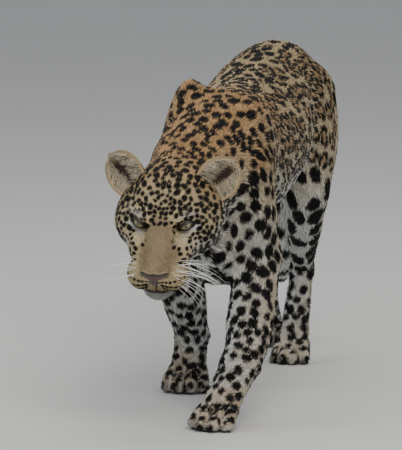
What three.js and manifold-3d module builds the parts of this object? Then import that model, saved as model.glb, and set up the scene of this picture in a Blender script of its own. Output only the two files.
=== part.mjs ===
// A leopard walking with its head low, life size, in millimetres.
// X points to the animal's left, Y to its tail and Z up, and the soles stand at Z = 0.
// Flesh is one smooth field, positive outside and negative inside. Each named piece is
// meshed from that field on a grid of its own and parted from its neighbours by thin cuts.
import * as THREE from "three";
import { mergeVertices } from "three/addons/utils/BufferGeometryUtils.js";
import Module from "manifold-3d";

const wasm = await Module();
wasm.setup();

// Driving dimensions
const EYE_SPACING = 74;
const EYE_RADIUS = 15;
const LID_THICKNESS = 3.4;
const HEAD_PITCH = 31;
const HEAD_ROLL = 2.5;
const BETWEEN_THE_EYES = [-30, -322, 362];
const EAR_LENGTH = 74;
const EAR_HALF_BREADTH = 37;
const EAR_DEPTH = 27;
const EAR_WALL = 5;
const FORE_TOE_SPREAD = 30;
const FORE_TOE_RADIUS = 14;
const HIND_TOE_SPREAD = 26;
const HIND_TOE_RADIUS = 12.5;
const MOUTH_OPENING = 2.4;
const MOUTH_DEPTH = 9;
const GAP = 0.3;

// Small vector helpers on plain arrays
const add = (a, b, k = 1) => a.map((n, i) => n + k * b[i]);
const dot = (a, b) => a[0] * b[0] + a[1] * b[1] + a[2] * b[2];
const unit = (a) => a.map((n) => n / Math.hypot(...a));
const cross = (a, b) => [
  a[1] * b[2] - a[2] * b[1],
  a[2] * b[0] - a[0] * b[2],
  a[0] * b[1] - a[1] * b[0],
];
const across = (side, point) => [side * point[0], ...point.slice(1)];

// Two fields blended over a width k, with a soft crease where they meet.
function blend(a, b, k) {
  const h = Math.max(k - Math.abs(a - b), 0) / k;
  return Math.min(a, b) - (h * h * k) / 4;
}

// An ellipsoid round a centre, with three half sizes.
function ball(centre, half) {
  return (p) => {
    const q = add(p, centre, -1);
    const k0 = Math.hypot(q[0] / half[0], q[1] / half[1], q[2] / half[2]);
    const k1 = Math.hypot(q[0] / half[0] ** 2, q[1] / half[1] ** 2, q[2] / half[2] ** 2);
    return k1 > 1e-9 ? (k0 * (k0 - 1)) / k1 : -Math.min(...half);
  };
}

// The same shape on both sides of the middle plane.
const pair = (field) => (p) => field([Math.abs(p[0]), p[1], p[2]]);

// Stations [x, y, z, half width, half depth] made closer and smooth, with `steps` for each stretch.
function smoothed(stations, steps) {
  const made = [];
  for (let i = 0; i + 1 < stations.length; i++) {
    const [a, b, c, d] = [i - 1, i, i + 1, i + 2].map(
      (n) => stations[Math.min(Math.max(n, 0), stations.length - 1)],
    );
    for (let s = 0; s < steps; s++) {
      const t = s / steps;
      made.push(
        b.map(
          (n, k) =>
            n +
            0.5 * t * (c[k] - a[k]) +
            t * t * (a[k] - 2.5 * n + 2 * c[k] - 0.5 * d[k]) +
            t * t * t * (1.5 * (n - c[k]) + 0.5 * (d[k] - a[k])),
        ),
      );
    }
  }
  return [...made, stations.at(-1)];
}

// Flesh along a chain of stations, oval in section: half width sideways, half depth across it.
function sweep(stations, steps = 4) {
  const line = smoothed(stations, steps);
  const links = line.slice(1).map((end, i) => {
    const start = line[i];
    const run = add(end, start, -1);
    const length = Math.hypot(run[0], run[1], run[2]);
    const along = run.slice(0, 3).map((n) => n / length);
    const side = unit(add([1, 0, 0], along, -along[0]));
    const reach = length + Math.max(start[3], start[4], end[3], end[4]);
    return { start, run, length, along, side, deep: cross(along, side), reach };
  });
  return (p) => {
    let best = Infinity;
    for (const { start, run, length, along, side, deep, reach } of links) {
      const q = [p[0] - start[0], p[1] - start[1], p[2] - start[2]];
      if (Math.hypot(q[0], q[1], q[2]) - reach > best) continue;
      const s = dot(q, along);
      const t = Math.min(Math.max(s / length, 0), 1);
      const wide = start[3] + t * run[3];
      const thick = start[4] + t * run[4];
      const past = s - t * length;
      const u = dot(q, side);
      const v = dot(q, deep);
      const end = Math.min(wide, thick);
      const k0 = Math.hypot(u / wide, v / thick, past / end);
      const k1 = Math.hypot(u / wide ** 2, v / thick ** 2, past / end ** 2);
      best = Math.min(best, k1 > 1e-9 ? (k0 * (k0 - 1)) / k1 : -end);
    }
    return best;
  };
}

// The head has its own frame: origin between the eyes, Y back, level palate.
const headPlace = new THREE.Matrix4()
  .makeRotationFromEuler(
    new THREE.Euler(
      THREE.MathUtils.degToRad(HEAD_PITCH),
      THREE.MathUtils.degToRad(HEAD_ROLL),
      0,
      "ZXY",
    ),
  )
  .setPosition(...BETWEEN_THE_EYES);
const [hx, hy, hz] = [0, 1, 2].map((c) => headPlace.elements.slice(4 * c, 4 * c + 3));
const intoHead = (p) => {
  const q = add(p, BETWEEN_THE_EYES, -1);
  return [dot(q, hx), dot(q, hy), dot(q, hz)];
};
const outOfHead = (p) =>
  new THREE.Vector3(...p).applyMatrix4(headPlace).toArray();

// The flesh of the head, in its own frame
const skull = [
  [ball([0, 78, 0], [62, 80, 54]), 0],
  [ball([0, 42, -4], [50, 64, 34]), 22],
  [pair(ball([30, 9, 6], [21, 25, 15])), 14],
  [pair(ball([50, 42, -26], [40, 52, 38])), 24],
  [pair(ball([54, 76, -34], [36, 46, 42])), 24],
  [pair(ball([38, 52, -56], [36, 48, 36])), 24],
  [pair(ball([34, -12, -34], [25, 42, 28])), 20],
  [sweep([[0, 10, -5, 26, 24], [0, -40, -22, 25, 21], [0, -82, -43, 23, 19]]), 14],
  [pair(ball([23, -60, -54], [29, 37, 22])), 10],
  [ball([0, -84, -40], [23, 16, 15]), 8],
  [sweep([[0, -60, -80, 27, 18], [0, -20, -78, 37, 21], [0, 40, -70, 52, 26]]), 8],
  [ball([0, -68, -82], [24, 20, 17]), 10],
];
const socket = pair(ball([38, -6, -3], [20, 13, 12]));
const headField = (p) => {
  const made = skull.reduce((all, [field, k]) => (k ? blend(all, field(p), k) : field(p)), 0);
  return -blend(-made, socket(p), 12);
};

// The trunk and the neck
const torso = sweep([
  [0, -60, 420, 66, 80],
  [0, 0, 429, 88, 111],
  [0, 70, 431, 96, 121],
  [-3, 160, 430, 105, 124],
  [-8, 260, 432, 113, 124],
  [-10, 360, 444, 116, 122],
  [-9, 450, 464, 111, 120],
  [-5, 530, 486, 101, 115],
  [-1, 600, 503, 88, 99],
  [0, 662, 508, 66, 70],
]);
const brisket = sweep([
  [0, -84, 345, 50, 62],
  [4, -30, 306, 66, 84],
  [2, 50, 304, 68, 82],
  [0, 150, 340, 66, 64],
]);
const neck = sweep([
  [-2, 40, 450, 90, 102],
  [-7, -50, 440, 87, 93],
  [-15, -130, 420, 80, 86],
  [-22, -195, 397, 74, 80],
  [-27, -245, 378, 67, 70],
]);

// Each leg: the fleshy upper length, the lower length, and the foot's knuckles and heading.
const forelegs = {
  left: {
    blade: ball([58, 22, 470], [34, 62, 76]),
    bulges: [ball([74, 36, 266], [21, 22, 28])],
    upper: [
      [68, -35, 425, 40, 64],
      [70, -20, 345, 44, 62],
      [70, 5, 268, 42, 52],
    ],
    lower: [
      [71, 8, 262, 42, 48],
      [77, -42, 216, 44, 44],
      [80, -98, 168, 44, 39],
      [82, -142, 130, 40, 34],
      [78, -174, 104, 37, 30],
    ],
    knuckle: [55, -238, 40],
    heading: [-17, -55],
  },
  right: {
    blade: ball([-55, 42, 494], [37, 62, 83]),
    bulges: [ball([-88, 130, 284], [19, 20, 26])],
    upper: [
      [-76, -10, 425, 42, 62],
      [-82, 42, 345, 44, 60],
      [-86, 92, 275, 42, 50],
    ],
    lower: [
      [-88, 102, 276, 41, 48],
      [-90, 128, 222, 44, 45],
      [-89, 160, 165, 42, 39],
      [-86, 190, 120, 35, 33],
      [-84, 203, 96, 32, 28],
    ],
    knuckle: [-84, 168, 40],
    heading: [2, -55],
  },
};
const hindlegs = {
  left: {
    bulges: [ball([49, 607, 182], [15, 15, 22])],
    upper: [
      [66, 575, 505, 48, 84],
      [77, 535, 435, 50, 88],
      [83, 482, 372, 43, 66],
      [82, 452, 338, 36, 48],
    ],
    lower: [
      [82, 452, 328, 36, 42],
      [73, 486, 284, 37, 45],
      [60, 540, 235, 32, 37],
      [51, 583, 190, 24, 29],
      [48, 592, 168, 23, 26],
    ],
    knuckle: [40, 548, 38],
    heading: [-3, -55],
  },
  right: {
    bulges: [ball([-57, 724, 186], [15, 15, 20])],
    upper: [
      [-66, 575, 505, 48, 84],
      [-76, 560, 435, 50, 88],
      [-83, 545, 365, 43, 68],
      [-84, 530, 315, 36, 48],
    ],
    lower: [
      [-84, 534, 308, 36, 42],
      [-76, 584, 268, 37, 45],
      [-66, 645, 222, 32, 37],
      [-58, 697, 187, 24, 29],
      [-56, 708, 170, 23, 26],
    ],
    knuckle: [-50, 762, 46],
    heading: [2, -55],
  },
};

// A foot: the pastern from the last station to the knuckles, a main pad and four toes.
function foot(top, knuckle, heading, spread, radius) {
  const ahead = unit([...heading, 0]);
  const right = [-ahead[1], ahead[0], 0];
  const at = (sideways, forward, height) => [
    knuckle[0] + sideways * right[0] + forward * ahead[0],
    knuckle[1] + sideways * right[1] + forward * ahead[1],
    height,
  ];
  const pastern = sweep([
    top,
    [...knuckle, spread * 1.12, radius * 1.55],
  ]);
  const toes = [-1, -0.35, 0.35, 1].map((n) => {
    const reach = radius * (Math.abs(n) > 0.5 ? 2.5 : 3.4);
    return sweep(
      [
        [...at(n * spread * 0.8, 0, knuckle[2] - 4), radius * 0.9, radius],
        [...at(n * spread, reach * 0.55, radius * 1.9), radius * 0.93, radius * 0.93],
        [...at(n * spread * 1.05, reach, radius * 0.82), radius, radius],
      ],
      2,
    );
  });
  const pad = ball(at(0, radius * 0.3, radius * 0.8), [spread * 0.85, radius * 1.6, radius]);
  return (p) => {
    const digits = Math.min(...toes.map((toe) => toe(p)));
    return blend(blend(pastern(p), pad(p), 12), digits, 7);
  };
}
for (const [legs, spread, radius, crease] of [
  [forelegs, FORE_TOE_SPREAD, FORE_TOE_RADIUS, 26],
  [hindlegs, HIND_TOE_SPREAD, HIND_TOE_RADIUS, 30],
])
  for (const leg of Object.values(legs)) {
    const lengths = [sweep(leg.upper), sweep(leg.lower)];
    const sole = foot(leg.lower.at(-1), leg.knuckle, leg.heading, spread, radius);
    leg.crease = crease;
    leg.flesh = (p) => {
      const limb = blend(lengths[0](p), lengths[1](p), crease);
      return leg.bulges.reduce((made, bulge) => blend(made, bulge(p), 16), blend(limb, sole(p), 12));
    };
    const reach = [...leg.upper, ...leg.lower, [...leg.knuckle, 80, 80]];
    leg.low = [0, 1, 2].map((a) => Math.min(...reach.map((q) => q[a] - q[4] - 20)));
    leg.high = [0, 1, 2].map((a) => Math.max(...reach.map((q) => q[a] + q[4] + 20)));
  }

// The tail hangs behind the right hock and lifts its tip.
const tailChain = [
  [0, 640, 545, 40, 40],
  [0, 706, 530, 33, 34],
  [-4, 762, 465, 27, 27],
  [-12, 798, 370, 24.5, 24.5],
  [-24, 828, 270, 23.5, 23.5],
  [-40, 874, 180, 23, 23],
  [-60, 952, 122, 23, 23],
  [-76, 1040, 108, 22.5, 22.5],
  [-88, 1120, 134, 21.5, 21.5],
  [-94, 1160, 186, 16, 16],
];
const tail = sweep(tailChain);

// How far a point lies outside a box
const outside = (p, low, high) =>
  Math.hypot(...p.map((n, a) => Math.max(low[a] - n, 0, n - high[a])));

// All the flesh as one field; a limb too far off to matter isn't measured
function flesh(p) {
  let made = blend(blend(torso(p), brisket(p), 40), neck(p), 40);
  if (p[1] < -120) made = blend(made, headField(intoHead(p)), 30);
  for (const leg of Object.values(forelegs)) made = blend(made, leg.blade(p), 34);
  for (const leg of [...Object.values(forelegs), ...Object.values(hindlegs)])
    if (outside(p, leg.low, leg.high) < made + leg.crease)
      made = blend(made, leg.flesh(p), leg.crease);
  return p[1] > 540 ? blend(made, tail(p), 24) : made;
}

// Surface nets: one vertex in each grid cell that the surface crosses, moved onto it.
function skinOf(field, [low, high], cell, offset = 0) {
  const count = low.map((n, i) => Math.ceil((high[i] - n) / cell[i]) + 2);
  const index = (i, j, k) => i + count[0] * (j + count[1] * k);
  const point = (i, j, k) => [i, j, k].map((n, a) => low[a] + (n - 0.5) * cell[a]);
  const value = new Float32Array(count[0] * count[1] * count[2]).fill(1);
  for (let k = 1; k < count[2] - 1; k++)
    for (let j = 1; j < count[1] - 1; j++)
      for (let i = 1; i < count[0] - 1; i++)
        value[index(i, j, k)] = field(point(i, j, k)) - offset;
  const corners = [...Array(8).keys()].map((n) => [n & 1, (n >> 1) & 1, n >> 2]);
  const edges = corners.flatMap((a, m) =>
    corners.slice(m + 1).flatMap((b, n) =>
      Math.abs(a[0] - b[0]) + Math.abs(a[1] - b[1]) + Math.abs(a[2] - b[2]) === 1
        ? [[m, m + 1 + n]]
        : [],
    ),
  );
  const cells = (visit) => {
    for (let k = 0; k < count[2] - 1; k++)
      for (let j = 0; j < count[1] - 1; j++)
        for (let i = 0; i < count[0] - 1; i++) {
          const places = corners.map(([a, b, c]) => index(i + a, j + b, k + c));
          const held = places.map((n) => value[n]);
          const within = held.filter((n) => n < 0).length;
          if (within && within < 8) visit(i, j, k, places, held);
        }
  };
  // A cell whose inner or outer corners touch only across a diagonal is filled a little.
  const apart = (held, inner) => {
    const group = held.map((_, n) => n);
    for (let turn = 0; turn < 4; turn++)
      for (const [m, n] of edges)
        if (held[m] < 0 === inner && held[n] < 0 === inner)
          group[m] = group[n] = Math.min(group[m], group[n]);
    return new Set(group.filter((_, n) => held[n] < 0 === inner)).size > 1;
  };
  for (let pinched = true; pinched; ) {
    pinched = false;
    cells((i, j, k, places, held) => {
      if (!apart(held, true) && !apart(held, false)) return;
      const outer = places.filter((n) => value[n] >= 0);
      value[outer.reduce((a, b) => (value[b] < value[a] ? b : a))] = -0.05;
      pinched = true;
    });
  }

  const settle = (p, middle) => {
    const reach = cell.map((n) => 0.48 * n);
    for (let turn = 0; turn < 3; turn++) {
      const f = field(p) - offset;
      const slope = [0, 1, 2].map((a) => {
        const q = [...p];
        q[a] += 0.5;
        return (field(q) - offset - f) / 0.5;
      });
      const steep = Math.max(dot(slope, slope), 0.1);
      p = p.map((n, a) => {
        const moved = n - (f * slope[a]) / steep;
        return Math.min(Math.max(moved, middle[a] - reach[a]), middle[a] + reach[a]);
      });
    }
    return p;
  };

  const vertexOf = new Int32Array(value.length).fill(-1);
  const vertices = [];
  cells((i, j, k, places, held) => {
    const crossed = edges.filter(([m, n]) => held[m] < 0 !== held[n] < 0);
    const sum = [0, 0, 0];
    for (const [m, n] of crossed) {
      const t = held[m] / (held[m] - held[n]);
      for (let a = 0; a < 3; a++)
        sum[a] += corners[m][a] + t * (corners[n][a] - corners[m][a]);
    }
    const first = point(i, j, k);
    const start = sum.map((n, a) => first[a] + (n / crossed.length) * cell[a]);
    const middle = first.map((n, a) => n + cell[a] / 2);
    vertexOf[index(i, j, k)] = vertices.length / 3;
    vertices.push(...settle(start, middle));
  });

  const faces = [];
  const steps = [[1, 0, 0], [0, 1, 0], [0, 0, 1]];
  for (let k = 0; k < count[2] - 1; k++)
    for (let j = 0; j < count[1] - 1; j++)
      for (let i = 0; i < count[0] - 1; i++)
        steps.forEach(([a, b, c], axis) => {
          const here = value[index(i, j, k)] < 0;
          if (here === value[index(i + a, j + b, k + c)] < 0) return;
          const u = steps[(axis + 1) % 3];
          const v = steps[(axis + 2) % 3];
          const ring = [[0, 0], [1, 0], [1, 1], [0, 1]].map(
            ([m, n]) =>
              vertexOf[index(i - m * u[0] - n * v[0], j - m * u[1] - n * v[1], k - m * u[2] - n * v[2])],
          );
          if (!here) ring.reverse();
          const span = (m, n) =>
            Math.hypot(...[0, 1, 2].map((d) => vertices[3 * m + d] - vertices[3 * n + d]));
          if (span(ring[0], ring[2]) < span(ring[1], ring[3]))
            faces.push(ring[0], ring[1], ring[2], ring[0], ring[2], ring[3]);
          else faces.push(ring[1], ring[2], ring[3], ring[1], ring[3], ring[0]);
        });
  return solid(new Float32Array(vertices), new Uint32Array(faces));
}

const solid = (vertProperties, triVerts) =>
  new wasm.Manifold(new wasm.Mesh({ numProp: 3, vertProperties, triVerts }));

// A closed three.js geometry as a solid, after a matrix
function solidOf(geometry, matrix = new THREE.Matrix4()) {
  const bare = geometry.index ? geometry.toNonIndexed() : geometry.clone();
  for (const name of Object.keys(bare.attributes))
    if (name !== "position") bare.deleteAttribute(name);
  const merged = mergeVertices(bare.applyMatrix4(matrix), 1e-3);
  return solid(merged.attributes.position.array, new Uint32Array(merged.index.array));
}

// The largest closed surface of a solid
const largest = (made) =>
  made.decompose().reduce((a, b) => (b.volume() > a.volume() ? b : a));

// What lies on the side of a plane that its normal points to, drawn in by half the gap
function beyond(made, normal, through) {
  const n = unit(normal);
  return made.trimByPlane(n, dot(n, through) + GAP / 2);
}
const above = (made) => made.trimByPlane([0, 0, 1], 0);

// Lids and sockets, in the head's frame
const eyeCentre = (side) => [(side * EYE_SPACING) / 2, 11, -2];
function eyeFrame(side) {
  const outward = unit(across(side, [0.32, -0.93, 0.14]));
  const corner = across(side, [0.88, 0.34, 0.28]);
  const along = unit(add(corner, outward, -dot(corner, outward))).map((n) => side * n);
  const up = cross(outward, along);
  return new THREE.Matrix4()
    .makeBasis(
      new THREE.Vector3(...along),
      new THREE.Vector3(...up),
      new THREE.Vector3(...outward),
    )
    .setPosition(...eyeCentre(side));
}
function lidOpening(side) {
  const half = EYE_RADIUS * 0.98;
  const almond = new THREE.Shape()
    .moveTo(-side * half, -2)
    .quadraticCurveTo(-side * 2, 9, side * half, 2)
    .quadraticCurveTo(side * 3, -13, -side * half, -2);
  const depth = 2 * EYE_RADIUS;
  const column = new THREE.ExtrudeGeometry(almond, { depth, bevelEnabled: false, curveSegments: 6 });
  return solidOf(column, eyeFrame(side));
}
const sphere = (radius, wide, high) => new THREE.SphereGeometry(radius, wide, high);

// The slit of the mouth: a thin curved slab, kept only near the surface
function mouth() {
  const line = new THREE.CatmullRomCurve3(
    [[-112, -70], [-92, -73], [-66, -75.5], [-38, -71], [-10, -60]].map(
      ([y, z]) => new THREE.Vector3(y, z, 0),
    ),
  ).getPoints(14);
  const half = MOUTH_OPENING / 2;
  const outline = new THREE.Shape([
    ...line.map((p) => new THREE.Vector2(p.x, p.y - half)),
    ...line.reverse().map((p) => new THREE.Vector2(p.x, p.y + half)),
  ]);
  const slab = new THREE.ExtrudeGeometry(outline, { depth: 130, bevelEnabled: false });
  // The outline lies in the head's YZ plane and runs out along X.
  const turn = new THREE.Matrix4().makeBasis(
    new THREE.Vector3(0, 1, 0),
    new THREE.Vector3(0, 0, 1),
    new THREE.Vector3(1, 0, 0),
  );
  const centred = new THREE.Matrix4().makeTranslation(-65, 0, 0).multiply(turn);
  const box = [[-60, -104, -104], [60, 20, -40]];
  const core = skinOf(headField, box, [6.5, 6.5, 6.5], -MOUTH_DEPTH);
  return solidOf(slab, centred).subtract(core);
}
function nostril(side) {
  const hole = new THREE.Matrix4()
    .makeTranslation(side * 12, -99, -42)
    .multiply(new THREE.Matrix4().makeRotationY(-side * 0.5))
    .multiply(new THREE.Matrix4().makeScale(7, 7, 3.6));
  return solidOf(sphere(1, 8, 6), hole);
}

// The same solid with its surface moved outwards, so that what it cuts keeps clear of it
function swollen(made, distance = GAP) {
  const { numProp, vertProperties, triVerts } = made.getMesh();
  const corner = (n) => [0, 1, 2].map((a) => vertProperties[n * numProp + a]);
  const normals = [];
  for (let t = 0; t < triVerts.length; t += 3) {
    const [a, b, c] = [...triVerts.slice(t, t + 3)].map(corner);
    const normal = cross(add(b, a, -1), add(c, a, -1));
    for (const n of triVerts.slice(t, t + 3)) normals[n] = add(normals[n] ?? [0, 0, 0], normal);
  }
  const moved = normals.flatMap((normal, n) => add(corner(n), unit(normal), distance));
  return solid(new Float32Array(moved), triVerts);
}

// The head: skull and muzzle, then lids, sockets, mouth and nostrils
const headBack = outOfHead([0, 112, 0]);
const headSkin = beyond(
  skinOf(flesh, [[-140, -420, 235], [80, -140, 505]], [11, 11.5, 11]),
  hy.map((n) => -n),
  headBack,
);
function head() {
  let made = headSkin;
  const cut = (tool) => made.subtract(tool.transform(headPlace.elements));
  for (const side of [-1, 1]) {
    const at = new THREE.Matrix4().makeTranslation(...eyeCentre(side));
    const lids = solidOf(sphere(EYE_RADIUS + LID_THICKNESS, 16, 11), at);
    made = made.add(lids.transform(headPlace.elements));
    made = cut(lidOpening(side));
    made = cut(solidOf(sphere(EYE_RADIUS + 2 * GAP, 14, 10), at));
    made = cut(nostril(side));
  }
  return largest(cut(mouth()));
}
function eye(side) {
  const at = new THREE.Matrix4().makeTranslation(...eyeCentre(side));
  return solidOf(sphere(EYE_RADIUS, 14, 10), headPlace.clone().multiply(at));
}

// An ear: a cup of even thickness, open towards the front and the side
function ear(side) {
  const root = across(side, [61, 82, 10]);
  const axis = unit(across(side, [0.64, 0.6, 0.46]));
  const edge = across(side, [0.72, 0.05, -0.66]);
  const wide = unit(add(edge, axis, -dot(edge, axis)));
  const open = cross(wide, axis).map((n) => side * n);
  const [rows, columns] = [6, 8];
  const at = (row, column, wall) => {
    const v = row / rows;
    const turn = (column / columns - 0.5) * Math.PI;
    const height = (EAR_LENGTH - wall) * v;
    const rounded = Math.sqrt(Math.max(1 - Math.max((v - 0.42) / 0.58, 0) ** 2.2, 0));
    const breadth = Math.max(EAR_HALF_BREADTH * (0.82 + 0.18 * Math.min(v / 0.4, 1)) * rounded - wall, 0);
    const depth = Math.max(EAR_DEPTH * (1 - 0.62 * v) * rounded - wall, 0);
    return root.map(
      (n, a) =>
        n +
        height * axis[a] +
        breadth * Math.sin(turn) * wide[a] -
        (depth * Math.cos(turn) - 2 * v * v) * open[a],
    );
  };
  const outer = [];
  for (let row = 0; row <= rows; row++)
    for (let column = 0; column <= columns; column++) outer.push(at(row, column, 0));
  const inner = [];
  for (let row = 0; row <= rows; row++)
    for (let column = 0; column <= columns; column++) inner.push(at(row, column, EAR_WALL));
  const across1 = columns + 1;
  const shift = outer.length;
  const faces = [];
  const quad = (a, b, c, d) => faces.push(a, b, c, a, c, d);
  for (let row = 0; row < rows; row++)
    for (let column = 0; column < columns; column++) {
      const a = row * across1 + column;
      quad(a, a + 1, a + 1 + across1, a + across1);
      quad(shift + a, shift + a + across1, shift + a + 1 + across1, shift + a + 1);
    }
  for (let row = 0; row < rows; row++) {
    const a = row * across1;
    const b = a + columns;
    quad(a, a + across1, shift + a + across1, shift + a);
    quad(b, shift + b, shift + b + across1, b + across1);
  }
  for (let column = 0; column < columns; column++) {
    const a = column;
    const b = rows * across1 + column;
    quad(a, shift + a, shift + a + 1, a + 1);
    quad(b, b + 1, shift + b + 1, shift + b);
  }
  if (side > 0) faces.reverse();
  const geometry = new THREE.BufferGeometry()
    .setAttribute("position", new THREE.Float32BufferAttribute([...outer, ...inner].flat(), 3))
    .setIndex(faces);
  return solidOf(geometry, headPlace);
}

// A limb is parted from the trunk by its own chain made fuller.
const regionOf = (chain, cell) => {
  const fuller = chain.map(([x, y, z, wide, deep]) => [x + 4 * Math.sign(x), y, z, wide + 14, deep + 14]);
  const low = [0, 1, 2].map((a) => Math.min(...fuller.map((q) => q[a] - q[4] - 6)));
  const high = [0, 1, 2].map((a) => Math.max(...fuller.map((q) => q[a] + q[4] + 6)));
  return skinOf(sweep(fuller), [low, high], cell);
};
const tailRegion = regionOf(tailChain.slice(1), [28, 28, 28]);

const parts = new Map();
parts.set("head", head());
for (const [name, side] of [["left", 1], ["right", -1]]) parts.set("eye_" + name, eye(side));

// Neck and trunk meet on a plane before the shoulders; the limbs are taken out of both.
const chest = [0, -86, 430];
const chestward = [0, 1, 0.22];
const backwards = chestward.map((n) => -n);
let neckSolid = skinOf(flesh, [[-130, -300, 210], [130, -20, 580]], [24, 31, 24]);
neckSolid = beyond(beyond(neckSolid, hy, headBack), backwards, chest);
let trunk = skinOf(flesh, [[-160, -120, 190], [160, 760, 640]], [35, 50, 35]);
trunk = beyond(trunk, chestward, chest);

const limbs = [
  ["foreleg", "forepaw", forelegs, [11.5, 11.5, 13]],
  ["hindleg", "hindpaw", hindlegs, [11.5, 11.5, 14]],
];
for (const [legName, pawName, legs, pawCell] of limbs)
  for (const [name, leg] of Object.entries(legs)) {
    const region = regionOf([...leg.upper, ...leg.lower], [30, 30, 30]);
    const joint = leg.lower.at(-1).slice(0, 3);
    const down = unit(add(joint, leg.lower.at(-2).slice(0, 3), -1));
    const box = region.boundingBox();
    const legSkin = skinOf(flesh, [box.min, box.max], [20.5, 21.5, 28.5]);
    const limb = beyond(legSkin.intersect(region), down.map((n) => -n), joint);
    parts.set(legName + "_" + name, largest(limb));
    const low = leg.knuckle.map((n, a) => Math.min(n - 75, joint[a] - 45));
    const high = leg.knuckle.map((n, a) => Math.max(n + 60, joint[a] + 45));
    low[2] = -8;
    if (name === "left") low[0] = Math.max(low[0], 2);
    else high[0] = Math.min(high[0], -2);
    const paw = beyond(skinOf(flesh, [low, high], pawCell), down, joint);
    parts.set(pawName + "_" + name, largest(above(paw)));
    const cutter = swollen(region);
    trunk = trunk.subtract(cutter);
    neckSolid = neckSolid.subtract(cutter);
  }
trunk = trunk.subtract(swollen(tailRegion));
parts.set("torso", largest(trunk));
parts.set("neck", largest(neckSolid));

// The tail in three lengths
const tailSkin = skinOf(flesh, [[-130, 600, 70], [60, 1200, 600]], [15, 24, 24]).intersect(tailRegion);
const tailCuts = [
  [tailChain[2], tailChain[3]],
  [tailChain[5], tailChain[6]],
].map(([a, b]) => [unit(add(b, a, -1).slice(0, 3)), a.slice(0, 3)]);
const [[firstWay, first], [secondWay, second]] = tailCuts;
const back = (n) => n.map((m) => -m);
parts.set("tail_base", largest(beyond(tailSkin, back(firstWay), first)));
parts.set("tail_middle", largest(beyond(beyond(tailSkin, firstWay, first), back(secondWay), second)));
parts.set("tail_tip", largest(beyond(tailSkin, secondWay, second)));

// The ears stand clear of the head and the neck.
const headClear = swollen(headSkin, 1.5 * GAP);
const neckClear = swollen(parts.get("neck"), 1.5 * GAP);
for (const [name, side] of [["left", 1], ["right", -1]])
  parts.set("ear_" + name, largest(ear(side).subtract(headClear).subtract(neckClear)));

// Colours of the coat and of the eyes
const tawny = { color: 0xc99a5b, roughness: 0.92, metalness: 0 };
const looks = {
  head: { ...tawny, color: 0xc7a06a },
  neck: { ...tawny, color: 0xc08a4c },
  ear: { ...tawny, color: 0x9a8468 },
  eye: { color: 0xb9b27a, roughness: 0.15, metalness: 0 },
  tail: { ...tawny, color: 0xc4a271 },
};

// Origin under the middle of the whole animal, on the ground
const bounds = [...parts.values()].map((made) => made.boundingBox());
const middle = [0, 1].map(
  (a) => (Math.min(...bounds.map((b) => b.min[a])) + Math.max(...bounds.map((b) => b.max[a]))) / 2,
);
function meshOf(name, made) {
  const { numProp, vertProperties, triVerts } = made.getMesh();
  const positions = new Float32Array((vertProperties.length / numProp) * 3);
  for (let i = 0; i < positions.length / 3; i++)
    for (let a = 0; a < 3; a++)
      positions[3 * i + a] = vertProperties[i * numProp + a] - (middle[a] ?? 0);
  const geometry = new THREE.BufferGeometry();
  geometry.setAttribute("position", new THREE.BufferAttribute(positions, 3));
  geometry.setIndex(new THREE.BufferAttribute(new Uint32Array(triVerts), 1));
  geometry.computeVertexNormals();
  const look = looks[name.split("_")[0]] ?? tawny;
  const mesh = new THREE.Mesh(geometry, new THREE.MeshStandardMaterial(look));
  mesh.name = name;
  return mesh;
}

const leopard = new THREE.Group();
leopard.name = "leopard";
for (const [name, made] of parts) leopard.add(meshOf(name, made));
export default leopard;
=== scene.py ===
"""A leopard walking with its head low: skin, spotted coat, eyes, nose, whiskers and claws.

Lengths inside the model are millimetres in the animal's own frame: X to its left, Y to its
tail, Z up, with the soles at Z = 0. Finished meshes are metres in the frame of the solids.
"""

import logging
import math
from collections.abc import Callable
from dataclasses import dataclass, field
from enum import Enum

import bmesh
import bpy
import numpy as np
from mathutils import Matrix, Vector


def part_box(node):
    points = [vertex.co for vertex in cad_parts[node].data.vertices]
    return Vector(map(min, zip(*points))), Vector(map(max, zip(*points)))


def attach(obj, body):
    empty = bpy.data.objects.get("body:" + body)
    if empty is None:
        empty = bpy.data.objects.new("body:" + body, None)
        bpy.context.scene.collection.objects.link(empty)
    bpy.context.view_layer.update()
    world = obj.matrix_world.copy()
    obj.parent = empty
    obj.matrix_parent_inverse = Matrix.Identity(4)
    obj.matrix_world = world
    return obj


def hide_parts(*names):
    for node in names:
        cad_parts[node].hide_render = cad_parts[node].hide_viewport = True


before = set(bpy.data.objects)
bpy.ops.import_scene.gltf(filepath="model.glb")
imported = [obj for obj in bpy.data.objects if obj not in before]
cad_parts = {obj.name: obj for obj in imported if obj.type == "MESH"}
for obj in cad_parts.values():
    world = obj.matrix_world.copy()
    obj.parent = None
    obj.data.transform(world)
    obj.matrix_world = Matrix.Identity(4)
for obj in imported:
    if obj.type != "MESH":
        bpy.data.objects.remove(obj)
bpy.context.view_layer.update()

Array = np.ndarray
log = logging.getLogger("leopard")

# A tuft is a thin three-sided blade: a ring at its root, a ring at its middle, and its tip.
TUFT_POINTS = 7
TUFT_FACES = np.array([
    [0, 1, 4], [0, 4, 3], [1, 2, 5], [1, 5, 4], [2, 0, 3], [2, 3, 5], [3, 4, 6], [4, 5, 6],
    [5, 3, 6],
])
TUFT_PATCH = 0.0015 * np.array([
    [-1, -1], [1, -1], [0, -0.6], [-0.8, 0.4], [0.8, 0.4], [0, 0.4], [0, 1],
])
TOES = (-1.0, -0.35, 0.35, 1.0)


def rows(*points: tuple) -> Array:
    """Points as an array of floats."""
    return np.array(points, float)


def unit(vectors: Array) -> Array:
    """The same directions at length one."""
    length = np.linalg.norm(vectors, axis=-1, keepdims=True)
    return vectors / np.maximum(length, 1e-9)


def step(low: float, high: float, value: Array) -> Array:
    """A smooth step from 0 at low to 1 at high."""
    t = np.clip((value - low) / (high - low), 0.0, 1.0)
    return t * t * (3.0 - 2.0 * t)


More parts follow.
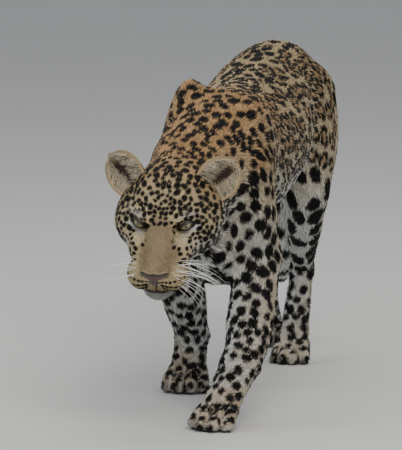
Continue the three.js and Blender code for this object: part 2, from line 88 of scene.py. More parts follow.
def blend(a: Array, b: Array, width: float) -> Array:
    """Two fields joined with a soft crease of the given width."""
    h = np.maximum(width - np.abs(a - b), 0.0) / width
    return np.minimum(a, b) - h * h * width / 4.0


def mixed(a: Array, b: Array, share: Array) -> Array:
    """Colours a turned towards b by a share for each point."""
    return a + (b - a) * share[:, None]


def lumps(points: Array, size: float, seed: int) -> Array:
    """Soft random values from about -1 to 1 that vary over the given size.

    Args:
        points: Places, in millimetres.
        size: How far apart the lumps lie.
        seed: Which pattern.

    Returns:
        One value for each point.
    """
    rng = np.random.default_rng(seed)
    total = np.zeros(len(points))
    for _ in range(9):
        wave = unit(rng.normal(size=3)) * rng.uniform(0.7, 1.5) * 2.0 * math.pi / size
        total += np.sin(points @ wave + rng.uniform(0.0, 2.0 * math.pi))
    return total / 3.2


@dataclass(frozen=True)
class Ball:
    """An ellipsoid of flesh, with its centre and three half sizes."""

    centre: tuple
    half: tuple

    def distance(self, p: Array) -> Array:
        """About how far each point lies outside.

        Args:
            p: Points, in millimetres.

        Returns:
            One distance for each point.
        """
        q = p - np.array(self.centre, float)
        half = np.array(self.half, float)
        k0 = np.linalg.norm(q / half, axis=1)
        k1 = np.linalg.norm(q / half**2, axis=1)
        return k0 * (k0 - 1.0) / np.maximum(k1, 1e-9)

    def both(self, p: Array) -> Array:
        """The same for the ball and its mirror image.

        Args:
            p: Points, in millimetres.

        Returns:
            One distance for each point.
        """
        mirrored = p.copy()
        mirrored[:, 0] = np.abs(mirrored[:, 0])
        return self.distance(mirrored)


@dataclass
class Sweep:
    """Flesh along stations of x, y, z, half width and half depth, oval in section."""

    stations: list
    steps: int = 4
    links: list = field(init=False)

    def __post_init__(self) -> None:
        """Makes the stations closer and smooth, and measures each link."""
        s = np.array(self.stations, float)
        line = []
        for i in range(len(s) - 1):
            a, b, c, d = (s[min(max(n, 0), len(s) - 1)] for n in (i - 1, i, i + 1, i + 2))
            for t in np.arange(self.steps) / self.steps:
                line.append(
                    b
                    + 0.5 * t * (c - a)
                    + t * t * (a - 2.5 * b + 2.0 * c - 0.5 * d)
                    + t**3 * (1.5 * (b - c) + 0.5 * (d - a))
                )
        line.append(s[-1])
        self.links = []
        for start, end in zip(line, line[1:]):
            run = end - start
            length = float(np.linalg.norm(run[:3]))
            along = run[:3] / length
            side = unit(np.array([1.0, 0.0, 0.0]) - along[0] * along)
            self.links.append((start, run, length, along, side, np.cross(along, side)))

    def measure(self, p: Array) -> tuple[Array, Array, Array, Array]:
        """How far each point lies outside, and where it is along the line.

        Args:
            p: Points, in millimetres.

        Returns:
            The distance, the direction of the nearest link, the share of the whole length
            and the angle round the line.
        """
        best = np.full(len(p), np.inf)
        way = np.zeros((len(p), 3))
        share = np.zeros(len(p))
        angle = np.zeros(len(p))
        for n, (start, run, length, along, side, deep) in enumerate(self.links):
            q = p - start[:3]
            s = q @ along
            t = np.clip(s / length, 0.0, 1.0)
            wide, thick = start[3] + t * run[3], start[4] + t * run[4]
            u, v, past = q @ side, q @ deep, s - t * length
            end = np.minimum(wide, thick)
            k0 = np.sqrt((u / wide) ** 2 + (v / thick) ** 2 + (past / end) ** 2)
            k1 = np.sqrt((u / wide**2) ** 2 + (v / thick**2) ** 2 + (past / end**2) ** 2)
            made = k0 * (k0 - 1.0) / np.maximum(k1, 1e-9)
            nearer = made < best
            best = np.where(nearer, made, best)
            way[nearer] = along
            share = np.where(nearer, (n + t) / len(self.links), share)
            angle = np.where(nearer, np.arctan2(u, v), angle)
        return best, way, share, angle

    def distance(self, p: Array) -> Array:
        """About how far each point lies outside."""
        return self.measure(p)[0]


@dataclass
class Leg:
    """One leg: a fleshy upper length, a lower length, its bulges, and the foot."""

    upper: list
    lower: list
    bulges: list
    knuckle: tuple
    heading: tuple
    toe_spread: float
    toe_radius: float
    crease: float
    blade: Ball | None = None
    low: Array = field(init=False)
    high: Array = field(init=False)

    def __post_init__(self) -> None:
        """Makes the sweeps, the pad and the toes."""
        self.lengths = [Sweep(self.upper), Sweep(self.lower)]
        ahead = unit(np.array([*self.heading, 0.0]))
        right = np.array([-ahead[1], ahead[0], 0.0])
        radius, spread = self.toe_radius, self.toe_spread
        knuckle = np.array(self.knuckle, float)

        def at(sideways: float, forward: float, height: float) -> list:
            """A place in the foot's own directions."""
            spot = knuckle + sideways * right + forward * ahead
            return [spot[0], spot[1], height]

        self.at = at
        self.ahead, self.right = ahead, right
        self.pastern = Sweep([self.lower[-1], [*self.knuckle, spread * 1.12, radius * 1.55]])
        self.toes = []
        for n in TOES:
            reach = self.toe_reach(n)
            toe = [
                [*at(n * spread * 0.8, 0.0, self.knuckle[2] - 4.0), radius * 0.9, radius],
                [*at(n * spread, reach * 0.55, radius * 1.9), radius * 0.93, radius * 0.93],
                [*at(n * spread * 1.05, reach, radius * 0.82), radius, radius],
            ]
            self.toes.append(Sweep(toe, 2))
        self.pad = Ball(
            tuple(at(0.0, radius * 0.3, radius * 0.8)), (spread * 0.85, radius * 1.6, radius)
        )
        reach = np.array([*self.upper, *self.lower, [*self.knuckle, 80.0, 80.0]], float)
        self.low = (reach[:, :3] - reach[:, 4:5] - 20.0).min(axis=0)
        self.high = (reach[:, :3] + reach[:, 4:5] + 20.0).max(axis=0)

    def toe_reach(self, n: float) -> float:
        """How far a toe goes ahead of the knuckles: the two middle ones are longer."""
        return self.toe_radius * (2.5 if abs(n) > 0.5 else 3.4)

    def foot(self, p: Array) -> Array:
        """How far each point lies outside the foot."""
        digits = np.minimum.reduce([toe.distance(p) for toe in self.toes])
        return blend(blend(self.pastern.distance(p), self.pad.distance(p), 12.0), digits, 7.0)

    def distance(self, p: Array) -> Array:
        """How far each point lies outside the leg.

        Args:
            p: Points, in millimetres.

        Returns:
            One distance for each point.
        """
        made = blend(self.lengths[0].distance(p), self.lengths[1].distance(p), self.crease)
        made = blend(made, self.foot(p), 12.0)
        for bulge in self.bulges:
            made = blend(made, bulge.distance(p), 16.0)
        return made


@dataclass
class Head:
    """The head in its own frame: origin between the eyes, Y back, the palate level."""

    between_eyes: tuple = (-30.0, -322.0, 362.0)
    pitch: float = 31.0
    roll: float = 2.5
    eye_spacing: float = 74.0
    eye_radius: float = 15.0
    lip_places: tuple = (-112.0, -92.0, -66.0, -38.0, -10.0)
    lip_heights: tuple = (-76.0, -79.0, -81.0, -75.0, -62.0)

    def __post_init__(self) -> None:
        """Makes the frame and the lumps of flesh."""
        self.turn = np.array(
            Matrix.Rotation(math.radians(self.pitch), 3, "X")
            @ Matrix.Rotation(math.radians(self.roll), 3, "Y")
        )
        self.bridge = Sweep([[0, 10, -5, 26, 24], [0, -40, -22, 25, 21], [0, -82, -43, 23, 19]])
        self.jaw = Sweep([[0, -60, -80, 27, 18], [0, -20, -78, 37, 21], [0, 40, -70, 52, 26]])
        self.socket = Ball((38, -6, -3), (20, 13, 12))
        self.flesh = [
            (Ball((0, 78, 0), (62, 80, 54)).distance, 0.0),
            (Ball((0, 42, -4), (50, 64, 34)).distance, 22.0),
            (Ball((30, 9, 6), (21, 25, 15)).both, 14.0),
            (Ball((50, 42, -26), (40, 52, 38)).both, 24.0),
            (Ball((54, 76, -34), (36, 46, 42)).both, 24.0),
            (Ball((38, 52, -56), (36, 48, 36)).both, 24.0),
            (Ball((34, -12, -34), (25, 42, 28)).both, 20.0),
            (self.bridge.distance, 14.0),
            (Ball((24, -60, -57), (30, 38, 25)).both, 10.0),
            (Ball((0, -84, -40), (23, 16, 15)).distance, 8.0),
            (self.jaw.distance, 8.0),
            (Ball((0, -68, -86), (24, 20, 18)).distance, 10.0),
        ]

    def inward(self, p: Array) -> Array:
        """Places of the animal's frame in the head's."""
        return (p - np.array(self.between_eyes)) @ self.turn

    def outward(self, q: Array) -> Array:
        """Places of the head's frame in the animal's."""
        return q @ self.turn.T + np.array(self.between_eyes)

    def turned(self, vectors: Array) -> Array:
        """Directions of the head's frame in the animal's."""
        return vectors @ self.turn.T

    def distance(self, q: Array) -> Array:
        """How far each point lies outside the head's flesh, in the head's frame.

        Args:
            q: Points in the head's frame.

        Returns:
            One distance for each point.
        """
        made = self.flesh[0][0](q)
        for part, width in self.flesh[1:]:
            made = blend(made, part(q), width)
        made = -blend(-made, self.socket.both(q), 12.0)
        x, y, z = q.T
        lip = step(6.0, -8.0, y) * 2.0 * np.exp(-(((z - self.lip(y)) / 2.2) ** 2))
        split = step(-56.0, -62.0, z) * step(-70.0, -80.0, y) * 1.8 * np.exp(-((x / 1.8) ** 2))
        split *= step(-84.0, -79.0, z)
        return made + lip + split

    def lip(self, y: Array) -> Array:
        """The height of the line between the lips, for places along the head."""
        return np.interp(y, self.lip_places, self.lip_heights)

    def eye(self, side: float) -> Array:
        """The middle of an eyeball, in the head's frame."""
        return np.array([side * self.eye_spacing / 2.0, 11.0, -2.0])

    def eye_frame(self, side: float) -> Array:
        """Columns: along the opening to the animal's left, up across it, and out of the eye.

        Args:
            side: The sign of X on the side of the eye.

        Returns:
            The three directions, in the columns of a matrix.
        """
        mirror = np.array([side, 1.0, 1.0])
        out = unit(mirror * [0.32, -0.93, 0.14])
        corner = mirror * [0.88, 0.34, 0.28]
        along = unit(corner - (corner @ out) * out) * side
        return np.array([along, np.cross(out, along), out]).T


class Side(Enum):
    """The animal's two sides, as the sign of X."""

    RIGHT = -1.0
    LEFT = 1.0


class Zone(Enum):
    """The lengths of the body that the coat is laid out on."""

    HEAD = 0
    NECK = 1
    TRUNK = 2
    FORE_LEFT = 3
    FORE_RIGHT = 4
    HIND_LEFT = 5
    HIND_RIGHT = 6
    TAIL = 7


@dataclass
class Body:
    """All the flesh as one smooth field, negative inside."""

    head: Head = field(default_factory=Head)

    def __post_init__(self) -> None:
        """Places the trunk, the neck, the legs and the tail."""
        self.trunk = Sweep([
            [0, -60, 420, 66, 80], [0, 0, 429, 88, 111], [0, 70, 431, 96, 121],
            [-3, 160, 430, 105, 124], [-8, 260, 432, 113, 124], [-10, 360, 444, 116, 122],
            [-9, 450, 464, 111, 120], [-5, 530, 486, 101, 115], [-1, 600, 503, 88, 99],
            [0, 662, 508, 66, 70],
        ])
        self.brisket = Sweep([
            [0, -84, 345, 50, 62], [4, -30, 306, 66, 84], [2, 50, 304, 68, 82],
            [0, 150, 340, 66, 64],
        ])
        self.neck = Sweep([
            [-2, 40, 450, 90, 102], [-7, -50, 440, 87, 93], [-15, -130, 420, 80, 86],
            [-22, -195, 397, 74, 80], [-27, -245, 378, 67, 70],
        ])
        self.tail = Sweep([
            [0, 640, 545, 40, 40], [0, 706, 530, 33, 34], [-4, 762, 465, 27, 27],
            [-12, 798, 370, 24.5, 24.5], [-24, 828, 270, 23.5, 23.5], [-40, 874, 180, 23, 23],
            [-60, 952, 122, 23, 23], [-76, 1040, 108, 22.5, 22.5], [-88, 1120, 134, 21.5, 21.5],
            [-94, 1160, 186, 16, 16],
        ])
        fore, hind = (30.0, 14.0, 26.0), (26.0, 12.5, 30.0)
        self.legs = {
            Zone.FORE_LEFT: Leg(
                [[68, -35, 425, 40, 64], [70, -20, 345, 44, 62], [70, 5, 268, 42, 52]],
                [[71, 8, 262, 42, 48], [77, -42, 216, 44, 44], [80, -98, 168, 44, 39],
                 [82, -142, 130, 40, 34], [78, -174, 104, 37, 30]],
                [Ball((74, 36, 266), (21, 22, 28))],
                (55, -238, 40), (-17, -55), *fore, Ball((58, 22, 470), (34, 62, 76)),
            ),
            Zone.FORE_RIGHT: Leg(
                [[-76, -10, 425, 42, 62], [-82, 42, 345, 44, 60], [-86, 92, 275, 42, 50]],
                [[-88, 102, 276, 41, 48], [-90, 128, 222, 44, 45], [-89, 160, 165, 42, 39],
                 [-86, 190, 120, 35, 33], [-84, 203, 96, 32, 28]],
                [Ball((-88, 130, 284), (19, 20, 26))],
                (-84, 168, 40), (2, -55), *fore, Ball((-55, 42, 494), (37, 62, 83)),
            ),
            Zone.HIND_LEFT: Leg(
                [[66, 575, 505, 48, 84], [77, 535, 435, 50, 88], [83, 482, 372, 43, 66],
                 [82, 452, 338, 36, 48]],
                [[82, 452, 328, 36, 42], [73, 486, 284, 37, 45], [60, 540, 235, 32, 37],
                 [51, 583, 190, 24, 29], [48, 592, 168, 23, 26]],
                [Ball((49, 607, 182), (15, 15, 22))],
                (40, 548, 38), (-3, -55), *hind,
            ),
            Zone.HIND_RIGHT: Leg(
                [[-66, 575, 505, 48, 84], [-76, 560, 435, 50, 88], [-83, 545, 365, 43, 68],
                 [-84, 530, 315, 36, 48]],
                [[-84, 534, 308, 36, 42], [-76, 584, 268, 37, 45], [-66, 645, 222, 32, 37],
                 [-58, 697, 187, 24, 29], [-56, 708, 170, 23, 26]],
                [Ball((-57, 724, 186), (15, 15, 20))],
                (-50, 762, 46), (2, -55), *hind,
            ),
        }

    def distance(self, p: Array) -> Array:
        """How far each point lies outside all the flesh.

        Args:
            p: Points, in millimetres.

        Returns:
            One distance for each point.
        """
        made = blend(self.trunk.distance(p), self.brisket.distance(p), 40.0)
        made = blend(made, self.neck.distance(p), 40.0)
        front = p[:, 1] < -120.0
        if front.any():
            skull = self.head.distance(self.head.inward(p[front]))
            made[front] = blend(made[front], skull, 30.0)
        for leg in self.legs.values():
            if leg.blade:
                made = blend(made, leg.blade.distance(p), 34.0)
        for leg in self.legs.values():
            gap = np.linalg.norm(np.maximum(np.maximum(leg.low - p, p - leg.high), 0.0), axis=1)
            near = gap < made + leg.crease
            if near.any():
                made[near] = blend(made[near], leg.distance(p[near]), leg.crease)
        rear = p[:, 1] > 540.0
        if rear.any():
            made[rear] = blend(made[rear], self.tail.distance(p[rear]), 24.0)
        return made

    def slope(self, p: Array, value: Array) -> Array:
        """The field's slope at each point.

        Args:
            p: Points, in millimetres.
            value: The field there.

        Returns:
            One vector for each point.
        """
        found = np.empty_like(p)
        for axis in range(3):
            moved = p.copy()
            moved[:, axis] += 0.5
            found[:, axis] = (self.distance(moved) - value) / 0.5
        return found

    def settle(self, p: Array, level: Array, turns: int = 2) -> tuple[Array, Array]:
        """Moves points to where the field has a given level.

        Args:
            p: Points near the surface.
            level: The wanted level at each point, negative under the surface.
            turns: How many times to correct.

        Returns:
            The moved points and the outward normals there.
        """
        for _ in range(turns):
            value = self.distance(p)
            slope = self.slope(p, value)
            steep = np.maximum((slope**2).sum(axis=1), 0.15)
            move = ((value - level) / steep)[:, None] * slope
            length = np.linalg.norm(move, axis=1, keepdims=True)
            p = p - move * np.minimum(1.0, 6.0 / np.maximum(length, 1e-9))
        return p, unit(slope)


def net(
    distance: Callable[[Array], Array], low: Array, high: Array, cell: float, coarse: int = 4
) -> tuple[Array, Array]:
    """Surface nets: one vertex for each grid cell that a field's zero crosses.

    Args:
        distance: The field, from points to distances.
        low: The lowest corner of the grid.
        high: The highest corner.
        cell: The grid's spacing.
        coarse: How many cells a first, rough look steps over.

    Returns:
        The vertices, and quads of their numbers with their faces outwards.
    """
    count = (np.ceil((high - low) / cell / coarse).astype(int) + 1) * coarse
    rough = [
        low[a] + cell * (np.arange(count[a] // coarse) * coarse + coarse / 2) for a in range(3)
    ]
    grid = np.stack(np.meshgrid(*rough, indexing="ij"), axis=-1)
    look = distance(grid.reshape(-1, 3)).reshape(grid.shape[:3])
    value = look.repeat(coarse, 0).repeat(coarse, 1).repeat(coarse, 2)
    near = np.abs(value) < cell * coarse * 1.9
    place = np.argwhere(near)
    value[near] = distance(low + cell * place)
    value[[0, -1]] = value[:, [0, -1]] = value[:, :, [0, -1]] = 1.0

    inside = value < 0.0
    corners = [(a, b, c) for c in (0, 1) for b in (0, 1) for a in (0, 1)]
    n = [s - 1 for s in value.shape]

    def corner(block: Array, at: tuple) -> Array:
        """The block's values at one corner of every cell."""
        return block[at[0]:at[0] + n[0], at[1]:at[1] + n[1], at[2]:at[2] + n[2]]

    held = sum(corner(inside, at).astype(np.int8) for at in corners)
    cells = np.argwhere((held > 0) & (held < 8))
    values = [corner(value, at)[tuple(cells.T)] for at in corners]
    total = np.zeros((len(cells), 3))
    crossings = np.zeros(len(cells))
    for i, a in enumerate(corners):
        for j, b in enumerate(corners):
            if j > i and sum(abs(m - k) for m, k in zip(a, b)) == 1:
                crossed = (values[i] < 0.0) != (values[j] < 0.0)
                gap = np.where(crossed, values[i] - values[j], 1.0)
                t = np.where(crossed, values[i] / gap, 0.0)
                spot = np.array(a, float) + t[:, None] * (np.array(b, float) - np.array(a, float))
                total += np.where(crossed[:, None], spot, 0.0)
                crossings += crossed
    vertices = low + cell * (cells + total / crossings[:, None])
    number = np.full(n, -1, np.int32)
    number[tuple(cells.T)] = np.arange(len(cells))
    quads = []
    for axis in range(3):
        ahead = np.roll(inside, -1, axis)
        spots = np.argwhere(inside != ahead)
        spots = spots[(spots > 0).all(axis=1) & (spots < np.array(n)).all(axis=1)]
        u, v = np.eye(3, dtype=int)[(axis + 1) % 3], np.eye(3, dtype=int)[(axis + 2) % 3]
        around = ((0, 0), (1, 0), (1, 1), (0, 1))
        ring = [number[tuple((spots - m * u - k * v).T)] for m, k in around]
        ring = np.stack(ring, axis=1)
        leaving = inside[tuple(spots.T)]
        ring[~leaving] = ring[~leaving][:, ::-1]
        quads.append(ring)
    faces = np.concatenate(quads)
    return vertices, faces[(faces >= 0).all(axis=1)]


@dataclass
class Placing:
    """Where the animal's frame lies in the frame of the solids."""

    head: Head

    def __post_init__(self) -> None:
        """Finds the shift from the left eye's own place."""
        low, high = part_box("eye_left")
        middle = (np.array(low) + np.array(high)) * 500.0
        self.shift = middle - self.head.outward(self.head.eye(1.0)[None])[0]
        self.shift[2] = 0.0

    def metres(self, p: Array) -> Array:
        """Points in metres, in the frame of the solids."""
        return (p + self.shift) / 1000.0


def mesh_piece(name: str, places: Array, faces: Array, smooth: bool = True) -> bpy.types.Object:
    """A mesh object from arrays, at the origin.

    Args:
        name: The piece's name.
        places: Its vertices, in metres.
        faces: Triangles or quads of vertex numbers.
        smooth: Whether it is shaded smooth.

    Returns:
        The object, in the scene.
    """
    mesh = bpy.data.meshes.new(name)
    sides = faces.shape[1]
    mesh.vertices.add(len(places))
    mesh.vertices.foreach_set("co", places.astype(np.float32).ravel())
    mesh.loops.add(faces.size)
    mesh.loops.foreach_set("vertex_index", faces.astype(np.int32).ravel())
    mesh.polygons.add(len(faces))
    mesh.polygons.foreach_set("loop_start", np.arange(0, faces.size, sides, dtype=np.int32))
    mesh.update(calc_edges=True)
    if smooth:
        mesh.shade_smooth()
    piece = bpy.data.objects.new(name, mesh)
    bpy.context.collection.objects.link(piece)
    return piece


def paint(piece: bpy.types.Object, colours: Array) -> None:
    """Gives every vertex its colour, in the attribute named coat.

    Args:
        piece: The object.
        colours: One linear colour for each vertex.
    """
    layer = piece.data.color_attributes.new(name="coat", type="FLOAT_COLOR", domain="POINT")
    full = np.concatenate([colours, np.ones((len(colours), 1))], axis=1)
    layer.data.foreach_set("color", full.astype(np.float32).ravel())


def tuft_piece(name: str, places: Array, colours: Array, spots: Array) -> bpy.types.Object:
    """A piece of coat from the points of its tufts.

    Args:
        name: The piece's name.
        places: The points of every tuft in turn, in metres.
        colours: One linear colour for each point.
        spots: Where each tuft's patch lies on the map that textures are baked on.

    Returns:
        The object, in the scene.
    """
    offsets = TUFT_POINTS * np.arange(len(spots))[:, None, None]
    faces = (TUFT_FACES[None] + offsets).reshape(-1, 3)
    piece = mesh_piece(name, places, faces)
    paint(piece, colours)
    flat = (spots[:, None, :] + TUFT_PATCH[None]).reshape(-1, 2)[faces.ravel()]
    uv = piece.data.uv_layers.new(name="OFBake")
    uv.data.foreach_set("uv", flat.astype(np.float32).ravel())
    return piece


@dataclass
class Markings:
    """The animal's spots and rosettes, laid on its own surface."""

    body: Body
    seed: int = 4

    def lay(self, p: Array, normal: Array, lie: Array, zone: Array) -> None:
        """Chooses a place, size, shape and direction for every marking.

        Args:
            p: Many points spread over the skin.
            normal: The outward directions there.
            lie: The directions in which the coat lies.
            zone: The part of the body of each point.
        """
        rng = np.random.default_rng(self.seed)
        q = self.body.head.inward(p)
        spacing, size, stretch, rosette = self.rule(p, q, normal, zone)
        order = rng.permutation(len(p))[:60000]
        order = order[size[order] > 0.0]
        taken = np.zeros((0, 3))
        room = np.zeros(0)
        chosen = []
        for start in range(0, len(order), 400):
            block = order[start:start + 400]
            if len(taken):
                far = np.linalg.norm(p[block][:, None] - taken[None], axis=2)
                free = (far > 0.5 * (spacing[block][:, None] + room[None])).all(axis=1)
                block = block[free]
            kept = []
            for n in block:
                away = (np.linalg.norm(p[n] - p[m]) / (spacing[n] + spacing[m]) for m in kept)
                if all(gap >= 0.5 for gap in away):
                    kept.append(n)
            chosen += kept
            taken = np.concatenate([taken, p[kept]]) if kept else taken
            room = np.concatenate([room, spacing[kept]]) if kept else room
        chosen = np.array(chosen)
        grown = rng.uniform(0.82, 1.2, len(chosen))
        tilt = rng.normal(0.0, 0.30, len(chosen))
        cross = np.cross(normal[chosen], lie[chosen])
        self.place = p[chosen]
        self.normal = normal[chosen]
        self.along = unit(lie[chosen] * np.cos(tilt)[:, None] + cross * np.sin(tilt)[:, None])
        self.open = rosette[chosen] > rng.uniform(0.0, 1.0, len(chosen))
        grown = np.where(self.open, 0.75 + 0.25 * grown, grown)
        self.wide = size[chosen] * grown
        self.long = self.wide * stretch[chosen] * rng.uniform(0.88, 1.15, len(chosen))
        self.phase = rng.uniform(0.0, 2.0 * math.pi, len(chosen))
        self.petals = rng.integers(3, 6, len(chosen))
        self.add_face_rows()
        log.info("markings: %d", len(self.place))

    def rule(self, p: Array, q: Array, normal: Array, zone: Array) -> tuple:
        """The spacing, half width, stretch and share of rosettes wanted at each point.

        Args:
            p: Points on the skin, in millimetres.
            q: The same points in the head's frame.
            normal: Outward directions there.
            zone: The part of the body of each point.

        Returns:
            Those four arrays, the spacing and the half width in millimetres and the stretch third.
        """
        x, y, z = p.T
        spacing = np.full(len(p), 36.0)
        size = np.full(len(p), 13.0)
        stretch = np.full(len(p), 1.25)
        rosette = np.zeros(len(p))
        trunk = zone == Zone.TRUNK.value
        side = np.abs(normal[:, 0])
        flank = trunk & (y > 80.0)
        spacing[flank], size[flank], rosette[flank], stretch[flank] = 35.0, 20.0, 1.0, 1.15
        hip = flank & (y > 430.0)
        spacing[hip], size[hip], stretch[hip] = 29.0, 16.8, 1.2
        spine = flank & (normal[:, 2] > 0.9)
        spacing[spine], size[spine], rosette[spine], stretch[spine] = 21.0, 10.0, 0.1, 1.4
        shoulder = trunk & (y <= 80.0)
        spacing[shoulder], size[shoulder], stretch[shoulder] = 21.5, 10.0, 1.15
        belly = trunk & (normal[:, 2] < -0.45)
        spacing[belly], size[belly], rosette[belly], stretch[belly] = 33.0, 14.5, 0.0, 1.15
        neck = zone == Zone.NECK.value
        up = step(-0.3, 0.5, normal[:, 2])
        ahead = step(-40.0, -230.0, y)
        spacing[neck] = (20.0 - 6.0 * ahead + 6.0 * (1.0 - up))[neck]
        size[neck] = (9.6 - 3.0 * ahead + 2.6 * (1.0 - up))[neck]
        stretch[neck] = 1.15
        for leg_zone, leg in self.body.legs.items():
            here = zone == leg_zone.value
            low = step(300.0, 70.0, z)
            hind = leg_zone in (Zone.HIND_LEFT, Zone.HIND_RIGHT)
            spacing[here] = ((34.0 if hind else 22.5) - (19.0 if hind else 7.8) * low)[here]
            size[here] = ((17.5 if hind else 11.4) - (9.6 if hind else 3.6) * low)[here]
            stretch[here] = 1.15
            if hind:
                outer = here & (z > 375.0) & (normal[:, 0] * np.sign(x) > -0.3)
                spacing[outer], size[outer], rosette[outer] = 31.0, 16.0, 0.9
        tail = zone == Zone.TAIL.value
        spacing[tail], size[tail], stretch[tail] = 31.0, 13.0, 1.0
        head = zone == Zone.HEAD.value
        hx, hy, hz = q.T
        wide = np.abs(hx)
        back = step(-10.0, 110.0, hy)
        spacing[head] = (8.3 + 5.2 * back)[head]
        size[head] = (4.5 + 2.9 * back)[head]
        stretch[head] = 1.15
        cheek = head & (hz < -18.0) & (hy > 0.0)
        spacing[cheek], size[cheek], stretch[cheek] = 11.2, 6.2, 1.2
        brow = head & (wide < 15.0) & (hz > 5.0)
        size[brow] *= 0.8
        spacing[brow] *= 0.8
        bridge = (wide < 24.0) & (hy < -16.0) & (hz > -52.0)
        muzzle = ((hy < -44.0) & (wide < 38.0)) | (hy < -58.0) | ((hz < -54.0) & (hy < -26.0))
        small = head & (hy < -2.0)
        spacing[small], size[small] = 8.2, 3.7
        chin = (hz < -66.0) & (hy < 30.0)
        around = np.hypot((wide - 39.0) * 0.9, (hz + 4.0) * 1.25) < 17.0
        size[head & (bridge | muzzle | chin | (around & (hy < 20.0)))] = 0.0
        size[z < 7.0] = 0.0
        return spacing, size, stretch, rosette

    def add_face_rows(self) -> None:
        """Adds the ruled marks of the face: whisker rows and the lines behind the mouth."""
        head = self.body.head
        extra = []
        for side in (-1.0, 1.0):
            for row in range(4):
                for n in range(9):
                    t = n / 8.0
                    out = 14.0 + 34.0 * math.sin(t * math.pi / 2.0)
                    back = -98.0 + 58.0 * (1.0 - math.cos(t * math.pi / 2.0))
                    level = -49.0 - 7.6 * row - 7.0 * t
                    long = 2.8 if row == 0 else 4.4
                    extra.append((side * out, back, level, 2.2 + 0.2 * row, long + 0.8))
            for n in range(5):
                extra.append((side * 52.0, -30.0 + 8.0 * n, -40.0 - 2.0 * n, 2.8, 5.0))
        spots = np.array(extra)
        place = head.outward(spots[:, :3])
        place, normal = self.body.settle(place, np.full(len(place), -2.0), 5)
        sides = np.sign(spots[:, 0])
        lie = head.turned(np.stack([sides * 0.7, 0.6 + 0.0 * sides, -0.1 + 0.0 * sides], axis=1))
        lie = unit(lie - (lie * normal).sum(axis=1, keepdims=True) * normal)
        count = len(place)
        self.place = np.concatenate([self.place, place])
        self.normal = np.concatenate([self.normal, normal])
        self.along = np.concatenate([self.along, lie])
        self.wide = np.concatenate([self.wide, spots[:, 3]])
        self.long = np.concatenate([self.long, spots[:, 4]])
        self.open = np.concatenate([self.open, np.zeros(count, bool)])
        self.phase = np.concatenate([self.phase, np.zeros(count)])
        self.petals = np.concatenate([self.petals, np.full(count, 3)])

    def dark(self, p: Array, normal: Array) -> tuple[Array, Array]:
        """How much of each point is black, and how much is a rosette's darker middle.

        Args:
            p: Points on the skin.
            normal: Outward directions there.

        Returns:
            Two values from 0 to 1 for each point.
        """
        black = np.zeros(len(p))
        core = np.zeros(len(p))
        nearest = np.full(len(p), 9.0)
        second = np.full(len(p), 9.0)
        order = np.argsort(p[:, 1])
        height = p[order, 1]
        wobble = lumps(p, 11.0, 11) * 0.08 + lumps(p, 5.0, 12) * 0.04
        reach = np.maximum(self.long, self.wide) * 1.5
        first = np.searchsorted(height, self.place[:, 1] - reach)
        last = np.searchsorted(height, self.place[:, 1] + reach)
        for n, (a, b) in enumerate(zip(first, last)):
            ids = order[a:b]
            d = p[ids] - self.place[n]
            close = (np.abs(d) < reach[n]).all(axis=1) & (normal[ids] @ self.normal[n] > 0.1)
            ids, d = ids[close], d[close]
            if not len(ids):
                continue
            over = np.cross(self.normal[n], self.along[n])
            u, v = d @ self.along[n] / self.long[n], d @ over / self.wide[n]
            away = np.hypot(u, v)
            turn = np.arctan2(v, u)
            edge = away + wobble[ids] + 0.10 * np.cos(2.0 * turn + self.phase[n])
            soft = 0.7 / self.wide[n] + 0.03
            if self.open[n]:
                gaps = np.cos(self.petals[n] * turn + self.phase[n] + 4.0 * wobble[ids])
                ring = step(0.38 - soft, 0.38 + soft, edge) * step(1.0 + soft, 1.0 - soft, edge)
                made, middle = ring * step(-0.95, -0.80, gaps), step(0.85, 0.55, edge)
            else:
                made, middle = step(1.0 + soft, 1.0 - soft, edge), np.zeros(len(ids))
            first = edge < nearest[ids]
            second[ids] = np.where(first, nearest[ids], np.minimum(second[ids], edge))
            nearest[ids] = np.where(first, edge, nearest[ids])
            black[ids] = np.where(first, made, black[ids])
            core[ids] = np.where(first, middle, core[ids])
        return black * step(0.02, 0.15, second - nearest), core


@dataclass(frozen=True)
class CoatColours:
    """The ground colours of the coat, linear."""

    tawny: tuple = (0.45, 0.275, 0.125)
    golden: tuple = (0.44, 0.335, 0.19)
    buff: tuple = (0.46, 0.395, 0.275)
    white: tuple = (0.62, 0.63, 0.60)
    bridge: tuple = (0.315, 0.235, 0.14)
    black: tuple = (0.0045, 0.0038, 0.0038)
    middle: tuple = (0.30, 0.19, 0.095)
    sole: tuple = (0.03, 0.022, 0.02)


